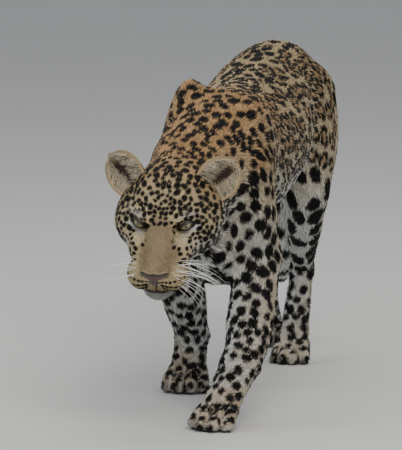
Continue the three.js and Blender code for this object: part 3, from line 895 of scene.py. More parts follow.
@dataclass
class Coat:
    """The coat's colours, direction, length and tufts over the body."""

    body: Body
    markings: Markings
    colours: CoatColours = field(default_factory=CoatColours)

    def survey(self, p: Array) -> tuple[Array, Array, Array, Array]:
        """What part of the body each point lies on, and how the coat lies there.

        Args:
            p: Points on the skin.

        Returns:
            The zone, the unprojected direction of the lie, the share along the part and
            the angle round it.
        """
        head = self.body.head
        q = head.inward(p)
        parts = []
        skull = head.distance(q)
        back = unit(q * [0.55, 0.0, 0.35] + [0.0, 60.0, -10.0])
        muzzle = step(-30.0, -70.0, q[:, 1])[:, None]
        back = unit(back + muzzle * np.stack(
            [np.sign(q[:, 0]) * step(4.0, 20.0, np.abs(q[:, 0])) * 0.8,
             np.zeros(len(q)), step(-30.0, -60.0, q[:, 2]) * -0.6], axis=1))
        share = (q[:, 1] + 105.0) / 220.0
        parts.append((skull, head.turned(back), share, np.arctan2(q[:, 0], q[:, 2] + 30.0)))
        neck, way, share, angle = self.body.neck.measure(p)
        parts.append((neck, -way, 1.0 - share, angle))
        trunk, way, share, angle = self.body.trunk.measure(p)
        droop = np.abs(np.sin(angle))[:, None] * [0.0, 0.0, -0.35]
        parts.append((trunk, unit(way + droop), share, angle))
        for leg in self.body.legs.values():
            upper, way_a, share_a, angle_a = leg.lengths[0].measure(p)
            lower, way_b, share_b, angle_b = leg.lengths[1].measure(p)
            paw = leg.foot(p)
            first, foot = (upper < lower), (paw < np.minimum(upper, lower))
            way = np.where(first[:, None], way_a, way_b)
            way = np.where(foot[:, None], unit(leg.ahead + [0, 0, -0.5])[None], way)
            share = np.where(first, share_a * 0.4, 0.4 + share_b * 0.35)
            toeward = np.clip((40.0 - p[:, 2]) / 45.0 + 0.5, 0, 1)
            share = np.where(foot, 0.75 + 0.25 * toeward, share)
            made = np.minimum(np.minimum(upper, lower), paw)
            parts.append((made, way, share, np.where(first, angle_a, angle_b)))
        tail, way, share, angle = self.body.tail.measure(p)
        parts.append((np.where(p[:, 1] < 650.0, 99.0, tail - 2.0), way, share, angle))
        gap = np.stack([part[0] for part in parts])
        zone = gap.argmin(axis=0)
        weight = np.exp(-(gap - gap.min(axis=0)) / 9.0)
        lie = sum(w[:, None] * part[1] for w, part in zip(weight, parts))
        pick = np.arange(len(p))
        share = np.stack([part[2] for part in parts])[zone, pick]
        angle = np.stack([part[3] for part in parts])[zone, pick]
        return zone, unit(lie), share, angle

    def depth(self, p: Array, zone: Array) -> Array:
        """How far the skin lies under the tips of the coat.

        Args:
            p: Points on the skin, in millimetres.
            zone: The part of the body of each point.

        Returns:
            One depth for each point, in millimetres.
        """
        q = self.body.head.inward(p)
        deep = np.array([2.2, 5.0, 6.0, 4.5, 4.5, 4.5, 4.5, 5.0])[zone]
        face = step(-150.0, -60.0, q[:, 1])
        paw = step(40.0, 90.0, p[:, 2])
        nape = step(60.0, 130.0, q[:, 1])
        deep = np.where(zone == 0, 1.8 * face + 2.4 * nape, deep)
        leg = (zone >= 3) & (zone <= 6)
        return np.where(leg, 2.2 + (deep - 2.2) * paw, deep)

    def ground(self, p: Array, normal: Array, zone: Array) -> Array:
        """The colour between the markings at each point.

        Args:
            p: Points on the skin, in millimetres.
            normal: Outward directions there.
            zone: The part of the body of each point.

        Returns:
            One linear colour for each point.
        """
        c = self.colours
        q = self.body.head.inward(p)
        x, y, z = p.T
        tawny, buff, white = (np.array(k) for k in (c.tawny, c.buff, c.white))
        up = step(-0.15, 0.85, normal[:, 2])
        fore = step(260.0, 60.0, y)
        top = mixed(np.tile(np.array(c.golden), (len(p), 1)), tawny, fore)
        base = np.tile(buff, (len(p), 1))
        base = base + (top - base) * up[:, None]
        base = mixed(base, tawny, 0.4 * fore * step(-0.3, 0.5, normal[:, 2]))
        under = step(-0.12, -0.62, normal[:, 2])
        trunk = (zone == 2) | (zone == 1)
        low = step(430.0, 370.0, z)
        base = mixed(base, white, np.where(trunk, np.maximum(under, 0.5 * low), 0.0))
        leg = (zone >= 3) & (zone <= 6)
        inner = step(0.25, -0.45, normal[:, 0] * np.sign(x))
        front = step(-0.1, -0.8, normal[:, 1])
        height = step(430.0, 300.0, z)
        pale = np.clip(np.maximum(inner, 0.35 * front + 0.35) * height, 0.0, 1.0)
        pale = np.where(z < 70.0, pale * 0.6, pale)
        base = mixed(base, white, np.where(leg, np.maximum(pale, under * height), 0.0))
        tail = zone == 7
        base = mixed(base, white, np.where(tail, step(0.2, -0.6, normal[:, 2]), 0.0))
        return self.face(base, q, normal, zone)

    def face(self, base: Array, q: Array, normal: Array, zone: Array) -> Array:
        """The same colours, with the ground of the face laid over them.

        Args:
            base: The colours so far.
            q: Points in the head's frame.
            normal: Outward directions there.
            zone: The part of the body of each point.

        Returns:
            One linear colour for each point.
        """
        c = self.colours
        tawny, buff, white, bridge = (np.array(k) for k in (c.tawny, c.buff, c.white, c.bridge))
        head = zone == 0
        hx, hy, hz = q.T
        wide = np.abs(hx)
        up = self.body.head.turned(np.array([[0.0, 0.0, 1.0]]))[0]
        lift = normal @ up
        soft = lumps(q, 16.0, 21)
        crown = step(0.1, 0.8, lift) * step(20.0, 90.0, hy)
        warm = np.array(buff) * [1.18, 1.12, 0.98]
        made = mixed(np.tile(warm, (len(q), 1)), tawny, 0.7 * crown)
        low = step(-6.0, -50.0, hz + 4.0 * soft) * step(-44.0, -18.0, hy)
        made = mixed(made, white, 0.8 * low)
        edge = np.interp(hy, [-88.0, -55.0, -26.0, -6.0], [30.0, 36.0, 24.0, 15.0]) + 2.5 * soft
        nose = step(6.0, -6.0, wide - edge) * step(16.0, -16.0, hy) * step(-60.0, -42.0, hz)
        made = mixed(made, bridge, nose)
        streak = self.near(q, [(30, -22, -19), (41, 0, -18), (53, 3, -10), (62, 6, -2)], 4.0)
        brow = self.near(q, [(34, -1, 17), (46, 4, 19), (57, 12, 14)], 6.0)
        made = mixed(made, white, np.clip(streak + 0.45 * brow, 0.0, 1.0))
        pad = step(-36.0, -58.0, hy) * step(-34.0, -50.0, hz + 2.0 * soft)
        made = mixed(made, np.array(buff) * [0.98, 0.92, 0.78], pad * 0.85)
        # Painted shade: the chin below the mouth gets the white dimmed to 0.6, as the shade under
        # the head.
        made = mixed(made, white * 0.6, step(-76.0, -83.0, hz) * step(30.0, 0.0, hy))
        return np.where(head[:, None], made, base)

    def lines(self, p: Array, q: Array, zone: Array) -> Array:
        """The black lines of the face: lid rims, tear lines, mouth and nose edges.

        Args:
            p: Points on the skin, in millimetres.
            q: The same points in the head's frame.
            zone: The part of the body of each point.

        Returns:
            How black each point is, from 0 to 1.
        """
        hx, hy, hz = q.T
        wide = np.abs(hx)
        front = step(24.0, 12.0, hy)
        rim = np.zeros(len(p))
        for side in (-1.0, 1.0):
            eye = self.body.head.eye(side)
            spot = (q - eye) @ self.body.head.eye_frame(side)
            away = np.hypot(spot[:, 0] / 1.75, (spot[:, 1] + 1.5) / 0.95)
            rim = np.maximum(rim, step(10.8, 9.2, away) * step(0.0, 6.0, spot[:, 2]))
        tear = self.near(q, [(24, -6, -9), (22.5, -22, -6), (23, -36, -10)], 2.2)
        mouth = step(3.2, 1.2, np.abs(hz - self.body.head.lip(hy))) * step(4.0, -8.0, hy)
        corner = np.exp(-(((hy + 6.0) / 9.0) ** 2 + ((hz + 61.0) / 5.0) ** 2))
        split = step(-57.0, -60.0, hz) * step(-72.0, -80.0, hy) * step(1.8, 0.6, wide)
        split *= step(-83.0, -79.0, hz)
        mouth = np.maximum(mouth, split * 0.8)
        tail = self.near(q, [(58, 6, 5), (66, 16, 3)], 2.2)
        made = np.maximum.reduce([rim * front, tear * 0.85, tail * 0.8, mouth * 0.95, corner * 0.8])
        return np.where(zone == 0, made, 0.0)

    def near(self, q: Array, line: list, width: float) -> Array:
        """How near each point is to a line that both sides of the face have.

        Args:
            q: Points in the head's frame.
            line: The corners of the line on the left side.
            width: The distance at which the value has fallen to about a third.

        Returns:
            A value from 0 to 1 for each point.
        """
        mirrored = q.copy()
        mirrored[:, 0] = np.abs(mirrored[:, 0])
        best = np.full(len(q), np.inf)
        corners = np.array(line, float)
        for a, b in zip(corners, corners[1:]):
            run = b - a
            t = np.clip((mirrored - a) @ run / (run @ run), 0.0, 1.0)
            best = np.minimum(best, np.linalg.norm(mirrored - a - t[:, None] * run, axis=1))
        return np.exp(-((best / width) ** 2))

    def colour(self, p: Array, normal: Array, zone: Array, lie: Array) -> Array:
        """The finished colour of the coat at each point.

        Args:
            p: Points on the skin.
            normal: Outward directions there.
            zone: The part of the body of each point.
            lie: The directions in which the coat lies.

        Returns:
            Linear colours.
        """
        c = self.colours
        ground = self.ground(p, normal, zone)
        black, core = self.markings.dark(p, normal)
        made = mixed(ground, np.array(c.middle), core * 0.75 * step(-0.5, 0.2, normal[:, 2]))
        q = self.body.head.inward(p)
        black = np.maximum(black, self.lines(p, q, zone))
        tip = (zone == 7) * step(1125.0, 1150.0, p[:, 1])
        made = mixed(made, np.array(c.black), np.clip(np.maximum(black, tip), 0.0, 1.0))
        sole = step(9.0, 4.0, p[:, 2]) * step(-0.3, -0.7, normal[:, 2])
        return mixed(made, np.array(c.sole), sole)


@dataclass(frozen=True)
class Tufting:
    """Lengths and widths of tufts by zone, in millimetres, how many there are, and how low."""

    length: tuple = (7.5, 15.0, 15.0, 11.0, 11.0, 11.0, 11.0, 15.0)
    width: tuple = (1.25, 2.5, 2.9, 2.3, 2.3, 2.3, 2.3, 2.6)
    share: tuple = (0.30, 0.09, 0.29, 0.07, 0.07, 0.075, 0.075, 0.03)
    total: int = 146000
    per_piece: int = 21500
    lowest: float = 0.3


@dataclass
class Fur:
    """Tufts of the short coat, as thin three-sided blades that lie along the body."""

    body: Body
    coat: Coat
    placing: Placing
    rule: Tufting = field(default_factory=Tufting)
    seed: int = 9

    def build(self, vertices: Array, faces: Array) -> list:
        """Grows the tufts on the skin.

        Args:
            vertices: The skin's vertices, in millimetres.
            faces: Its quads.

        Returns:
            The pieces of the coat.
        """
        rng = np.random.default_rng(self.seed)
        a, b, c, d = (vertices[faces[:, n]] for n in range(4))
        area = 0.5 * np.linalg.norm(np.cross(c - a, d - b), axis=1)
        middle = (a + b + c + d) / 4.0
        zone, _, _, _ = self.coat.survey(middle)
        q = self.body.head.inward(middle)
        dense = np.ones(len(faces))
        dense *= np.where((zone == 0), 1.0 + 1.3 * step(60.0, -20.0, q[:, 1]), 1.0)
        dense[middle[:, 2] < 3.5] = 0.0
        dense[self.coat_free(q) & (zone == 0)] = 0.0
        pieces = []
        for n, part in enumerate(Zone):
            chance = np.where(zone == n, area * dense, 0.0)
            wanted = int(self.rule.total * self.rule.share[n])
            picked = rng.choice(len(faces), wanted, p=chance / chance.sum())
            u, v = rng.uniform(size=(2, wanted, 1))
            near = a[picked] * (1 - u) + b[picked] * u
            far = d[picked] * (1 - u) + c[picked] * u
            root = near * (1 - v) + far * v
            root, normal = self.body.settle(root, -self.coat.depth(root, np.full(wanted, n)), 1)
            _, lie, share, angle = self.coat.survey(root)
            pieces += self.grow(part, rng, root, normal, lie, share, angle)
        return pieces

    def coat_free(self, q: Array) -> Array:
        """Where no fur grows: on the nose leather and between the lids.

        Args:
            q: Points in the head's frame.

        Returns:
            Whether each point is bare.
        """
        nose = (q[:, 1] < -88.0) & (np.abs(q[:, 0]) < 22.0) & (q[:, 2] > -54.0) & (q[:, 2] < -30.0)
        bare = nose
        for side in (-1.0, 1.0):
            spot = (q - self.body.head.eye(side)) @ self.body.head.eye_frame(side)
            away = np.hypot(spot[:, 0] / 1.35, spot[:, 1] + 1.5)
            bare = bare | ((away < 14.0) & (spot[:, 2] > 0.0))
        return bare

    def grow(
        self, part: Zone, rng: np.random.Generator, root: Array, normal: Array, lie: Array,
        share: Array, angle: Array,
    ) -> list:
        """Makes the tufts of one part of the body.

        Args:
            part: Which part.
            rng: The source of random numbers.
            root: Where the tufts stand.
            normal: Outward directions there.
            lie: The directions in which the coat lies.
            share: How far along the part each root is.
            angle: How far round it.

        Returns:
            The pieces, each under its limit of triangles.
        """
        count = len(root)
        zone = np.full(count, part.value)
        lie = unit(lie - (lie * normal).sum(axis=1, keepdims=True) * normal)
        side = np.cross(normal, lie)
        stray = rng.normal(0.0, 0.16, count)[:, None]
        lie = unit(lie + side * stray)
        side = np.cross(normal, lie)
        q = self.body.head.inward(root)
        size = rng.uniform(0.75, 1.2, count)
        length = self.rule.length[part.value] * size
        width = self.rule.width[part.value] * rng.uniform(0.8, 1.2, count)
        if part is Zone.HEAD:
            face = step(70.0, -30.0, q[:, 1])
            length = length * (1.25 - 0.75 * face)
            width = width * (1.25 - 0.45 * face)
            ruff = step(20.0, 80.0, q[:, 1]) * step(-10.0, -50.0, q[:, 2])
            chin = step(-66.0, -80.0, q[:, 2]) * step(20.0, -20.0, q[:, 1])
            length = length * (1.0 + 0.8 * ruff + 1.0 * chin)
        under = step(-0.3, -0.8, normal[:, 2])
        if part in (Zone.TRUNK, Zone.NECK):
            length = length * (1.0 + 0.7 * under)
        if Zone.FORE_LEFT.value <= part.value <= Zone.HIND_RIGHT.value:
            paw = step(90.0, 30.0, root[:, 2])
            length = length * (1.0 - 0.4 * paw)
            width = width * (1.0 - 0.35 * paw)
        lift = 0.16 + 0.10 * under + rng.uniform(-0.05, 0.10, count)
        ell = length[:, None]
        base = root - 0.4 * normal
        middle = root + lie * ell * 0.5 + normal * ell * lift[:, None] * 0.75
        tip = root + lie * ell + normal * ell * lift[:, None] * 0.7
        # Painted shade and light: each tuft is darker at its root (0.86), down among the others,
        # and lighter at its tip (1.12). The random factor per tuft, 0.80 to 1.18, is the hair's own
        # uneven tone.
        shade = rng.uniform(0.80, 1.18, count)[:, None]
        bands = []
        for spot, tone in ((root, 0.86), (middle, 1.0), (tip, 1.12)):
            band = self.coat.colour(spot, normal, zone, lie)
            bands.append(np.clip(band * shade * tone, 0.0, 0.9))
        colour = np.stack([bands[0]] * 3 + [bands[1]] * 3 + [bands[2]], axis=1)
        half = width[:, None] / 2.0
        ring = [-side * half, side * half, normal * half * 0.7]
        corners = [base + 0.9 * r for r in ring] + [middle + 0.85 * r for r in ring] + [tip]
        places = np.stack(corners, axis=1)
        places[..., 2] = np.maximum(places[..., 2], self.rule.lowest)
        around = np.stack([(angle / (2.0 * math.pi)) % 1.0, np.clip(share, 0.0, 1.0)], axis=1)
        pieces = []
        parts = max(1, math.ceil(count / self.rule.per_piece))
        for n, ids in enumerate(np.array_split(rng.permutation(count), parts)):
            name = f"coat_{part.name.lower()}" + (f"_{n + 1}" if parts > 1 else "")
            made = self.placing.metres(places[ids].reshape(-1, 3))
            spots = 0.004 + 0.992 * around[ids]
            pieces.append(tuft_piece(name, made, colour[ids].reshape(-1, 3), spots))
        return pieces


@dataclass
class Skin:
    """The one skin under the coat, in the pose of the solids."""

    body: Body
    coat: Coat
    placing: Placing
    cell: float = 6.0
    low: tuple = (-156.0, -432.0, -14.0)
    high: tuple = (152.0, 1200.0, 640.0)
    level: float = -4.0
    lowest: float = 0.6
    finer_before: tuple = (118.0, 14.0)

    def build(self) -> tuple[bpy.types.Object, Array, Array]:
        """Makes the skin from the field of flesh, finest on the face.

        Returns:
            The object, its vertices in millimetres and its quads.
        """
        low, high = np.array(self.low), np.array(self.high)
        vertices, faces = net(lambda p: self.body.distance(p) - self.level, low, high, self.cell)
        log.info("net: %d vertices", len(vertices))
        vertices, _ = self.body.settle(vertices, np.full(len(vertices), self.level), 1)
        vertices, faces = self.finer(vertices, faces)
        zone, lie, _, _ = self.coat.survey(vertices)
        vertices, normal = self.body.settle(vertices, -self.coat.depth(vertices, zone), 2)
        vertices[:, 2] = np.maximum(vertices[:, 2], self.lowest)
        lie = unit(lie - (lie * normal).sum(axis=1, keepdims=True) * normal)
        self.coat.markings.lay(vertices, normal, lie, zone)
        piece = mesh_piece("skin", self.placing.metres(vertices), faces)
        paint(piece, self.coat.colour(vertices, normal, zone, lie))
        return piece, vertices, faces

    def finer(self, vertices: Array, faces: Array) -> tuple[Array, Array]:
        """Divides the quads of the head once and those of the face twice.

        Args:
            vertices: The vertices, in millimetres.
            faces: The quads.

        Returns:
            The new vertices and quads; a triangle repeats its first corner.
        """
        for reach in self.finer_before:
            bm = bmesh.new()
            mesh = bpy.data.meshes.new("rough")
            mesh.from_pydata(vertices.tolist(), [], faces.tolist())
            bm.from_mesh(mesh)
            q = self.body.head.inward(vertices)
            inside = (q[:, 1] < reach) & (np.abs(q[:, 0]) < 110.0) & (q[:, 2] > -112.0)
            edges = [e for e in bm.edges if inside[e.verts[0].index] and inside[e.verts[1].index]]
            bmesh.ops.subdivide_edges(bm, edges=edges, cuts=1, use_grid_fill=True)
            bmesh.ops.triangulate(bm, faces=[f for f in bm.faces if len(f.verts) > 4])
            bm.to_mesh(mesh)
            bm.free()
            vertices = np.empty(len(mesh.vertices) * 3, np.float64)
            mesh.vertices.foreach_get("co", vertices)
            vertices = vertices.reshape(-1, 3)
            corners = [(*f.vertices, f.vertices[0])[:4] for f in mesh.polygons]
            faces = np.array(corners, int)
            bpy.data.meshes.remove(mesh)
            vertices, _ = self.body.settle(vertices, np.full(len(vertices), self.level), 1)
        return vertices, faces


class Shade:
    """A value in a material, on which Python's own signs work."""

    def __init__(self, tree: bpy.types.NodeTree, socket: bpy.types.NodeSocket) -> None:
        """Keeps the socket and the tree that it is in."""
        self.tree = tree
        self.socket = socket

    def _made(self, operation: str, *values: object) -> "Shade":
        """Adds one Math node.

        Args:
            operation: The node's operation.
            values: Numbers or other values of the material.

        Returns:
            Its result.
        """
        node = self.tree.nodes.new("ShaderNodeMath")
        node.operation = operation
        for place, value in zip(node.inputs, values):
            if isinstance(value, Shade):
                self.tree.links.new(value.socket, place)
            else:
                place.default_value = value
        return Shade(self.tree, node.outputs[0])

    def __add__(self, other: object) -> "Shade":
        """Sum."""
        return self._made("ADD", self, other)

    def __mul__(self, other: object) -> "Shade":
        """Product."""
        return self._made("MULTIPLY", self, other)

    __radd__ = __add__
    __rmul__ = __mul__


class Nodes:
    """A tree of nodes in the making."""

    def __init__(self, tree: bpy.types.NodeTree) -> None:
        """Keeps the tree."""
        self.tree = tree

    def node(self, kind: str, settings: dict, **values: object) -> bpy.types.Node:
        """Adds a node, its settings first and then its sockets.

        Args:
            kind: The node's type.
            settings: Its own settings.
            values: Numbers or links for its sockets, spaces written as underscores.

        Returns:
            The node.
        """
        node = self.tree.nodes.new(kind)
        for name, value in settings.items():
            setattr(node, name, value)
        for name, value in values.items():
            self.put(node.inputs[name.replace("_", " ")], value)
        return node

    def put(self, place: bpy.types.NodeSocket, value: object) -> None:
        """Sets or links one socket.

        Args:
            place: The socket.
            value: A number, a colour, another node's socket or a value of a material.
        """
        if isinstance(value, Shade):
            value = value.socket
        if isinstance(value, bpy.types.NodeSocket):
            self.tree.links.new(value, place)
        else:
            place.default_value = value

    def sum_of(self, operation: str, a: object, b: object) -> bpy.types.NodeSocket:
        """The result of one Math node.

        Args:
            operation: Its operation.
            a: The first number or socket.
            b: The second.

        Returns:
            The node's output.
        """
        node = self.node("ShaderNodeMath", {"operation": operation})
        self.put(node.inputs[0], a)
        self.put(node.inputs[1], b)
        return node.outputs[0]


class Recipe(Nodes):
    """One material in the making."""

    def __init__(self, name: str) -> None:
        """Starts a material with a Principled shader.

        Args:
            name: The material's name.
        """
        self.material = bpy.data.materials.new(name)
        self.material.use_nodes = True
        super().__init__(self.material.node_tree)
        self.shader = self.tree.nodes["Principled BSDF"]

    def attribute(self, name: str) -> bpy.types.Node:
        """A colour that the mesh holds."""
        return self.node("ShaderNodeAttribute", {"attribute_name": name})

    def noise(self, scale: float, detail: float = 3.0, squash: tuple = (1, 1, 1)) -> Shade:
        """Noise in the object's own coordinates.

        Args:
            scale: How fine the noise is, in lumps for each metre.
            detail: How many finer layers it has.
            squash: The scale along each axis.

        Returns:
            A value from 0 to 1.
        """
        place = self.node("ShaderNodeTexCoord", {}).outputs["Object"]
        turned = self.node("ShaderNodeMapping", {}, Vector=place, Scale=squash)
        made = self.node(
            "ShaderNodeTexNoise", {}, Vector=turned.outputs[0], Scale=scale, Detail=detail
        )
        return Shade(self.tree, made.outputs["Fac"])

    def lit(self, colour: bpy.types.NodeSocket, value: Shade) -> bpy.types.NodeSocket:
        """A colour made lighter or darker by a value.

        Args:
            colour: The colour.
            value: What it is multiplied by.

        Returns:
            The changed colour.
        """
        made = self.node("ShaderNodeVectorMath", {"operation": "SCALE"}, Scale=value)
        self.put(made.inputs[0], colour)
        return made.outputs[0]

    def finish(self, **values: object) -> bpy.types.Material:
        """Sets the shader's sockets and gives the material.

        Args:
            values: Numbers or links for the shader, spaces written as underscores.

        Returns:
            The finished material.
        """
        for name, value in values.items():
            self.put(self.shader.inputs[name.replace("_", " ")], value)
        return self.material


@dataclass(frozen=True)
class HairFinish:
    """Short hair: coloured by the mesh, uneven in tone, soft in gloss."""

    name: str
    roughness: float = 0.62
    grain: float = 900.0
    relief: float = 0.5

    def make(self) -> bpy.types.Material:
        """Makes the material.

        Returns:
            The material.
        """
        recipe = Recipe(self.name)
        colour = recipe.attribute("coat").outputs["Color"]
        fine = recipe.noise(self.grain, 2.0)
        broad = recipe.noise(60.0, 3.0)
        tone = 0.62 + 0.42 * fine + 0.34 * broad
        bump = recipe.node(
            "ShaderNodeBump", {}, Strength=self.relief, Distance=0.0012, Height=fine
        )
        return recipe.finish(
            Base_Color=recipe.lit(colour, tone),
            Roughness=self.roughness + 0.2 * fine,
            Normal=bump.outputs[0],
            Specular_IOR_Level=0.22,
        )


@dataclass(frozen=True)
class WetFinish:
    """A smooth wet surface, such as the eye or the nose leather."""

    name: str
    roughness: float
    coat: float
    grain: float = 0.0
    relief: float = 0.0

    def make(self) -> bpy.types.Material:
        """Makes the material.

        Returns:
            The material.
        """
        recipe = Recipe(self.name)
        colour = recipe.attribute("coat").outputs["Color"]
        values = {"Base_Color": colour, "Roughness": self.roughness, "Coat_Weight": self.coat}
        if self.relief:
            cells = recipe.noise(self.grain, 3.0)
            bump = recipe.node(
                "ShaderNodeBump", {}, Strength=self.relief, Distance=0.0006, Height=cells
            )
            values["Normal"] = bump.outputs[0]
            values["Roughness"] = self.roughness + 0.15 * cells
            values["Base_Color"] = recipe.lit(colour, 0.8 + 0.4 * cells)
        return recipe.finish(Coat_Roughness=0.04, **values)


@dataclass(frozen=True)
class PlainFinish:
    """One colour with a little variation, for whiskers, claws and the floor."""

    name: str
    colour: tuple
    roughness: float
    vary: float = 0.15
    grain: float = 200.0
    coat: float = 0.0

    def make(self) -> bpy.types.Material:
        """Makes the material.

        Returns:
            The material.
        """
        recipe = Recipe(self.name)
        tone = (1.0 - self.vary) + 2.0 * self.vary * recipe.noise(self.grain)
        base = recipe.node(
            "ShaderNodeVectorMath", {"operation": "SCALE"}, Scale=tone
        )
        base.inputs[0].default_value = self.colour
        return recipe.finish(
            Base_Color=base.outputs[0], Roughness=self.roughness, Coat_Weight=self.coat
        )


def grid_faces(lines: int, columns: int, closed: bool) -> Array:
    """Quads between the points of a grid of rows and columns.

    Args:
        lines: How many rows of points.
        columns: How many points in a row.
        closed: Whether the last column joins the first.

    Returns:
        The quads.
    """
    last = columns if closed else columns - 1
    faces = []
    for row in range(lines - 1):
        for n in range(last):
            m = (n + 1) % columns
            faces.append((row * columns + n, row * columns + m, (row + 1) * columns + m,
                          (row + 1) * columns + n))
    return np.array(faces)


@dataclass
class Paired:
    """A part that the head has on both sides."""

    half: Side
    head: Head
    placing: Placing

    @property
    def side(self) -> float:
        """The sign of X on this side."""
        return self.half.value

    @property
    def name(self) -> str:
        """Which side, as the names of pieces give it."""
        return self.half.name.lower()


@dataclass
class Eye(Paired):
    """An eyeball with its iris and pupil, and the lids round it."""

    pupil: float = 2.2
    iris: float = 11.6
    rings: int = 40
    spokes: int = 64

    def place(self, local: Array) -> Array:
        """Points of the eye's own frame in the frame of the solids, in metres."""
        q = local @ self.head.eye_frame(self.side).T + self.head.eye(self.side)
        return self.placing.metres(self.head.outward(q))

    def ball(self) -> bpy.types.Object:
        """The eyeball: a rounded cornea, iris fibres, a dark edge and the dark white.

        Returns:
            The object, in the scene.
        """
        radius = self.head.eye_radius
        angle = np.linspace(0.0, 1.0, self.rings + 1)[1:] ** 1.3 * math.radians(88.0)
        turn = np.arange(self.spokes) * 2.0 * math.pi / self.spokes
        a, t = np.meshgrid(angle, turn, indexing="ij")
        swell = 1.0 + 0.03 * step(0.75, 0.0, a)
        local = np.stack([np.sin(a) * np.cos(t), np.sin(a) * np.sin(t), np.cos(a)], axis=-1)
        local = (local * (radius * swell)[..., None]).reshape(-1, 3)
        faces = grid_faces(self.rings, self.spokes, True)
        n = len(local)
        fan = [(n, m, (m + 1) % self.spokes) for m in range(self.spokes)]
        places = np.concatenate([local, [[0.0, 0.0, radius * 1.03]]])
        piece = self.polygons(f"eyeball_{self.name}", places, faces.tolist() + fan)
        away = np.hypot(places[:, 0], places[:, 1])
        turn = np.arctan2(places[:, 1], places[:, 0])
        paint(piece, self.iris_colours(away, turn))
        return piece

    def polygons(self, name: str, local: Array, faces: list) -> bpy.types.Object:
        """A closed front of quads with a fan of triangles at its pole.

        Args:
            name: The piece's name.
            local: Points in the eye's own frame.
            faces: Their quads and triangles.

        Returns:
            The object, in the scene.
        """
        mesh = bpy.data.meshes.new(name)
        mesh.from_pydata(self.place(local).tolist(), [], faces)
        mesh.shade_smooth()
        piece = bpy.data.objects.new(name, mesh)
        bpy.context.collection.objects.link(piece)
        return piece

    def iris_colours(self, away: Array, turn: Array) -> Array:
        """Colours of the eyeball by the distance from its axis.

        Args:
            away: How far each point lies from the axis, in millimetres.
            turn: Its angle round the axis.

        Returns:
            One linear colour for each point.
        """
        pale, rim = np.array((0.27, 0.28, 0.15)), np.array((0.09, 0.085, 0.04))
        fibres = 0.5 + 0.5 * np.sin(turn * 37.0 + 3.0 * np.sin(turn * 9.0))
        base = mixed(np.tile(pale, (len(away), 1)), np.array((0.16, 0.17, 0.08)), 0.5 * fibres)
        base = mixed(base, rim, step(0.55, 0.95, away / self.iris))
        inner = step(self.pupil + 2.0, self.pupil, away)
        base = mixed(base, np.array((0.26, 0.20, 0.07)), 0.6 * inner)
        black = np.array((0.004, 0.004, 0.004))
        base = mixed(base, black, step(self.pupil + 0.35, self.pupil - 0.35, away))
        white = np.array((0.10, 0.065, 0.05))
        base = mixed(base, black * 2.0, step(self.iris - 0.7, self.iris, away))
        return mixed(base, white, step(self.iris + 0.2, self.iris + 1.2, away))

    def almond(self, count: int) -> Array:
        """The edge of the opening between the lids, in the eye's frame, going round.

        Args:
            count: How many points there are.

        Returns:
            The points, two numbers each.
        """
        side, half = self.side, self.head.eye_radius * 0.98
        t = np.linspace(0.0, 1.0, count // 2, endpoint=False)[:, None]

        def bow(a: tuple, b: tuple, c: tuple) -> Array:
            """A curve from a to c that leans to b."""
            a, b, c = (np.array(k, float) for k in (a, b, c))
            return (1 - t) ** 2 * a + 2 * t * (1 - t) * b + t * t * c

        start, end = (-side * half, -2.0), (side * half, 2.0)
        top = bow(start, (-side * 2.0, 6.5), end)
        low = bow(end, (side * 3.0, -11.5), start)
        return np.concatenate([top, low])

    def lids(self) -> bpy.types.Object:
        """The rim of the lids, from the wet edge out to the hair.

        Returns:
            The object, in the scene.
        """
        edge = self.almond(72)
        heart = np.array([0.0, -1.0])
        out = unit(edge - heart)
        rings = [(0.0, 15.05), (0.1, 15.9), (0.5, 16.8), (1.2, 17.5), (2.2, 17.6), (3.4, 16.9),
                 (4.6, 15.6)]
        local = []
        for push, radius in rings:
            spot = edge + out * push
            reach = np.hypot(spot[:, 0], spot[:, 1])
            spot = spot * np.minimum(1.0, radius * 0.985 / reach)[:, None]
            height = np.sqrt(np.maximum(radius**2 - (spot**2).sum(axis=1), 0.0))
            local.append(np.column_stack([spot, height]))
        local = np.concatenate(local)
        faces = grid_faces(len(rings), len(edge), True)[:, ::-1]
        piece = mesh_piece(f"lids_{self.name}", self.place(local), faces)
        black, lid = np.array((0.008, 0.006, 0.006)), np.array((0.035, 0.022, 0.016))
        shade = np.repeat([0.0, 0.0, 0.0, 0.2, 0.6, 0.8, 1.0], len(edge))
        paint(piece, mixed(np.tile(black, (len(local), 1)), lid, shade))
        return piece


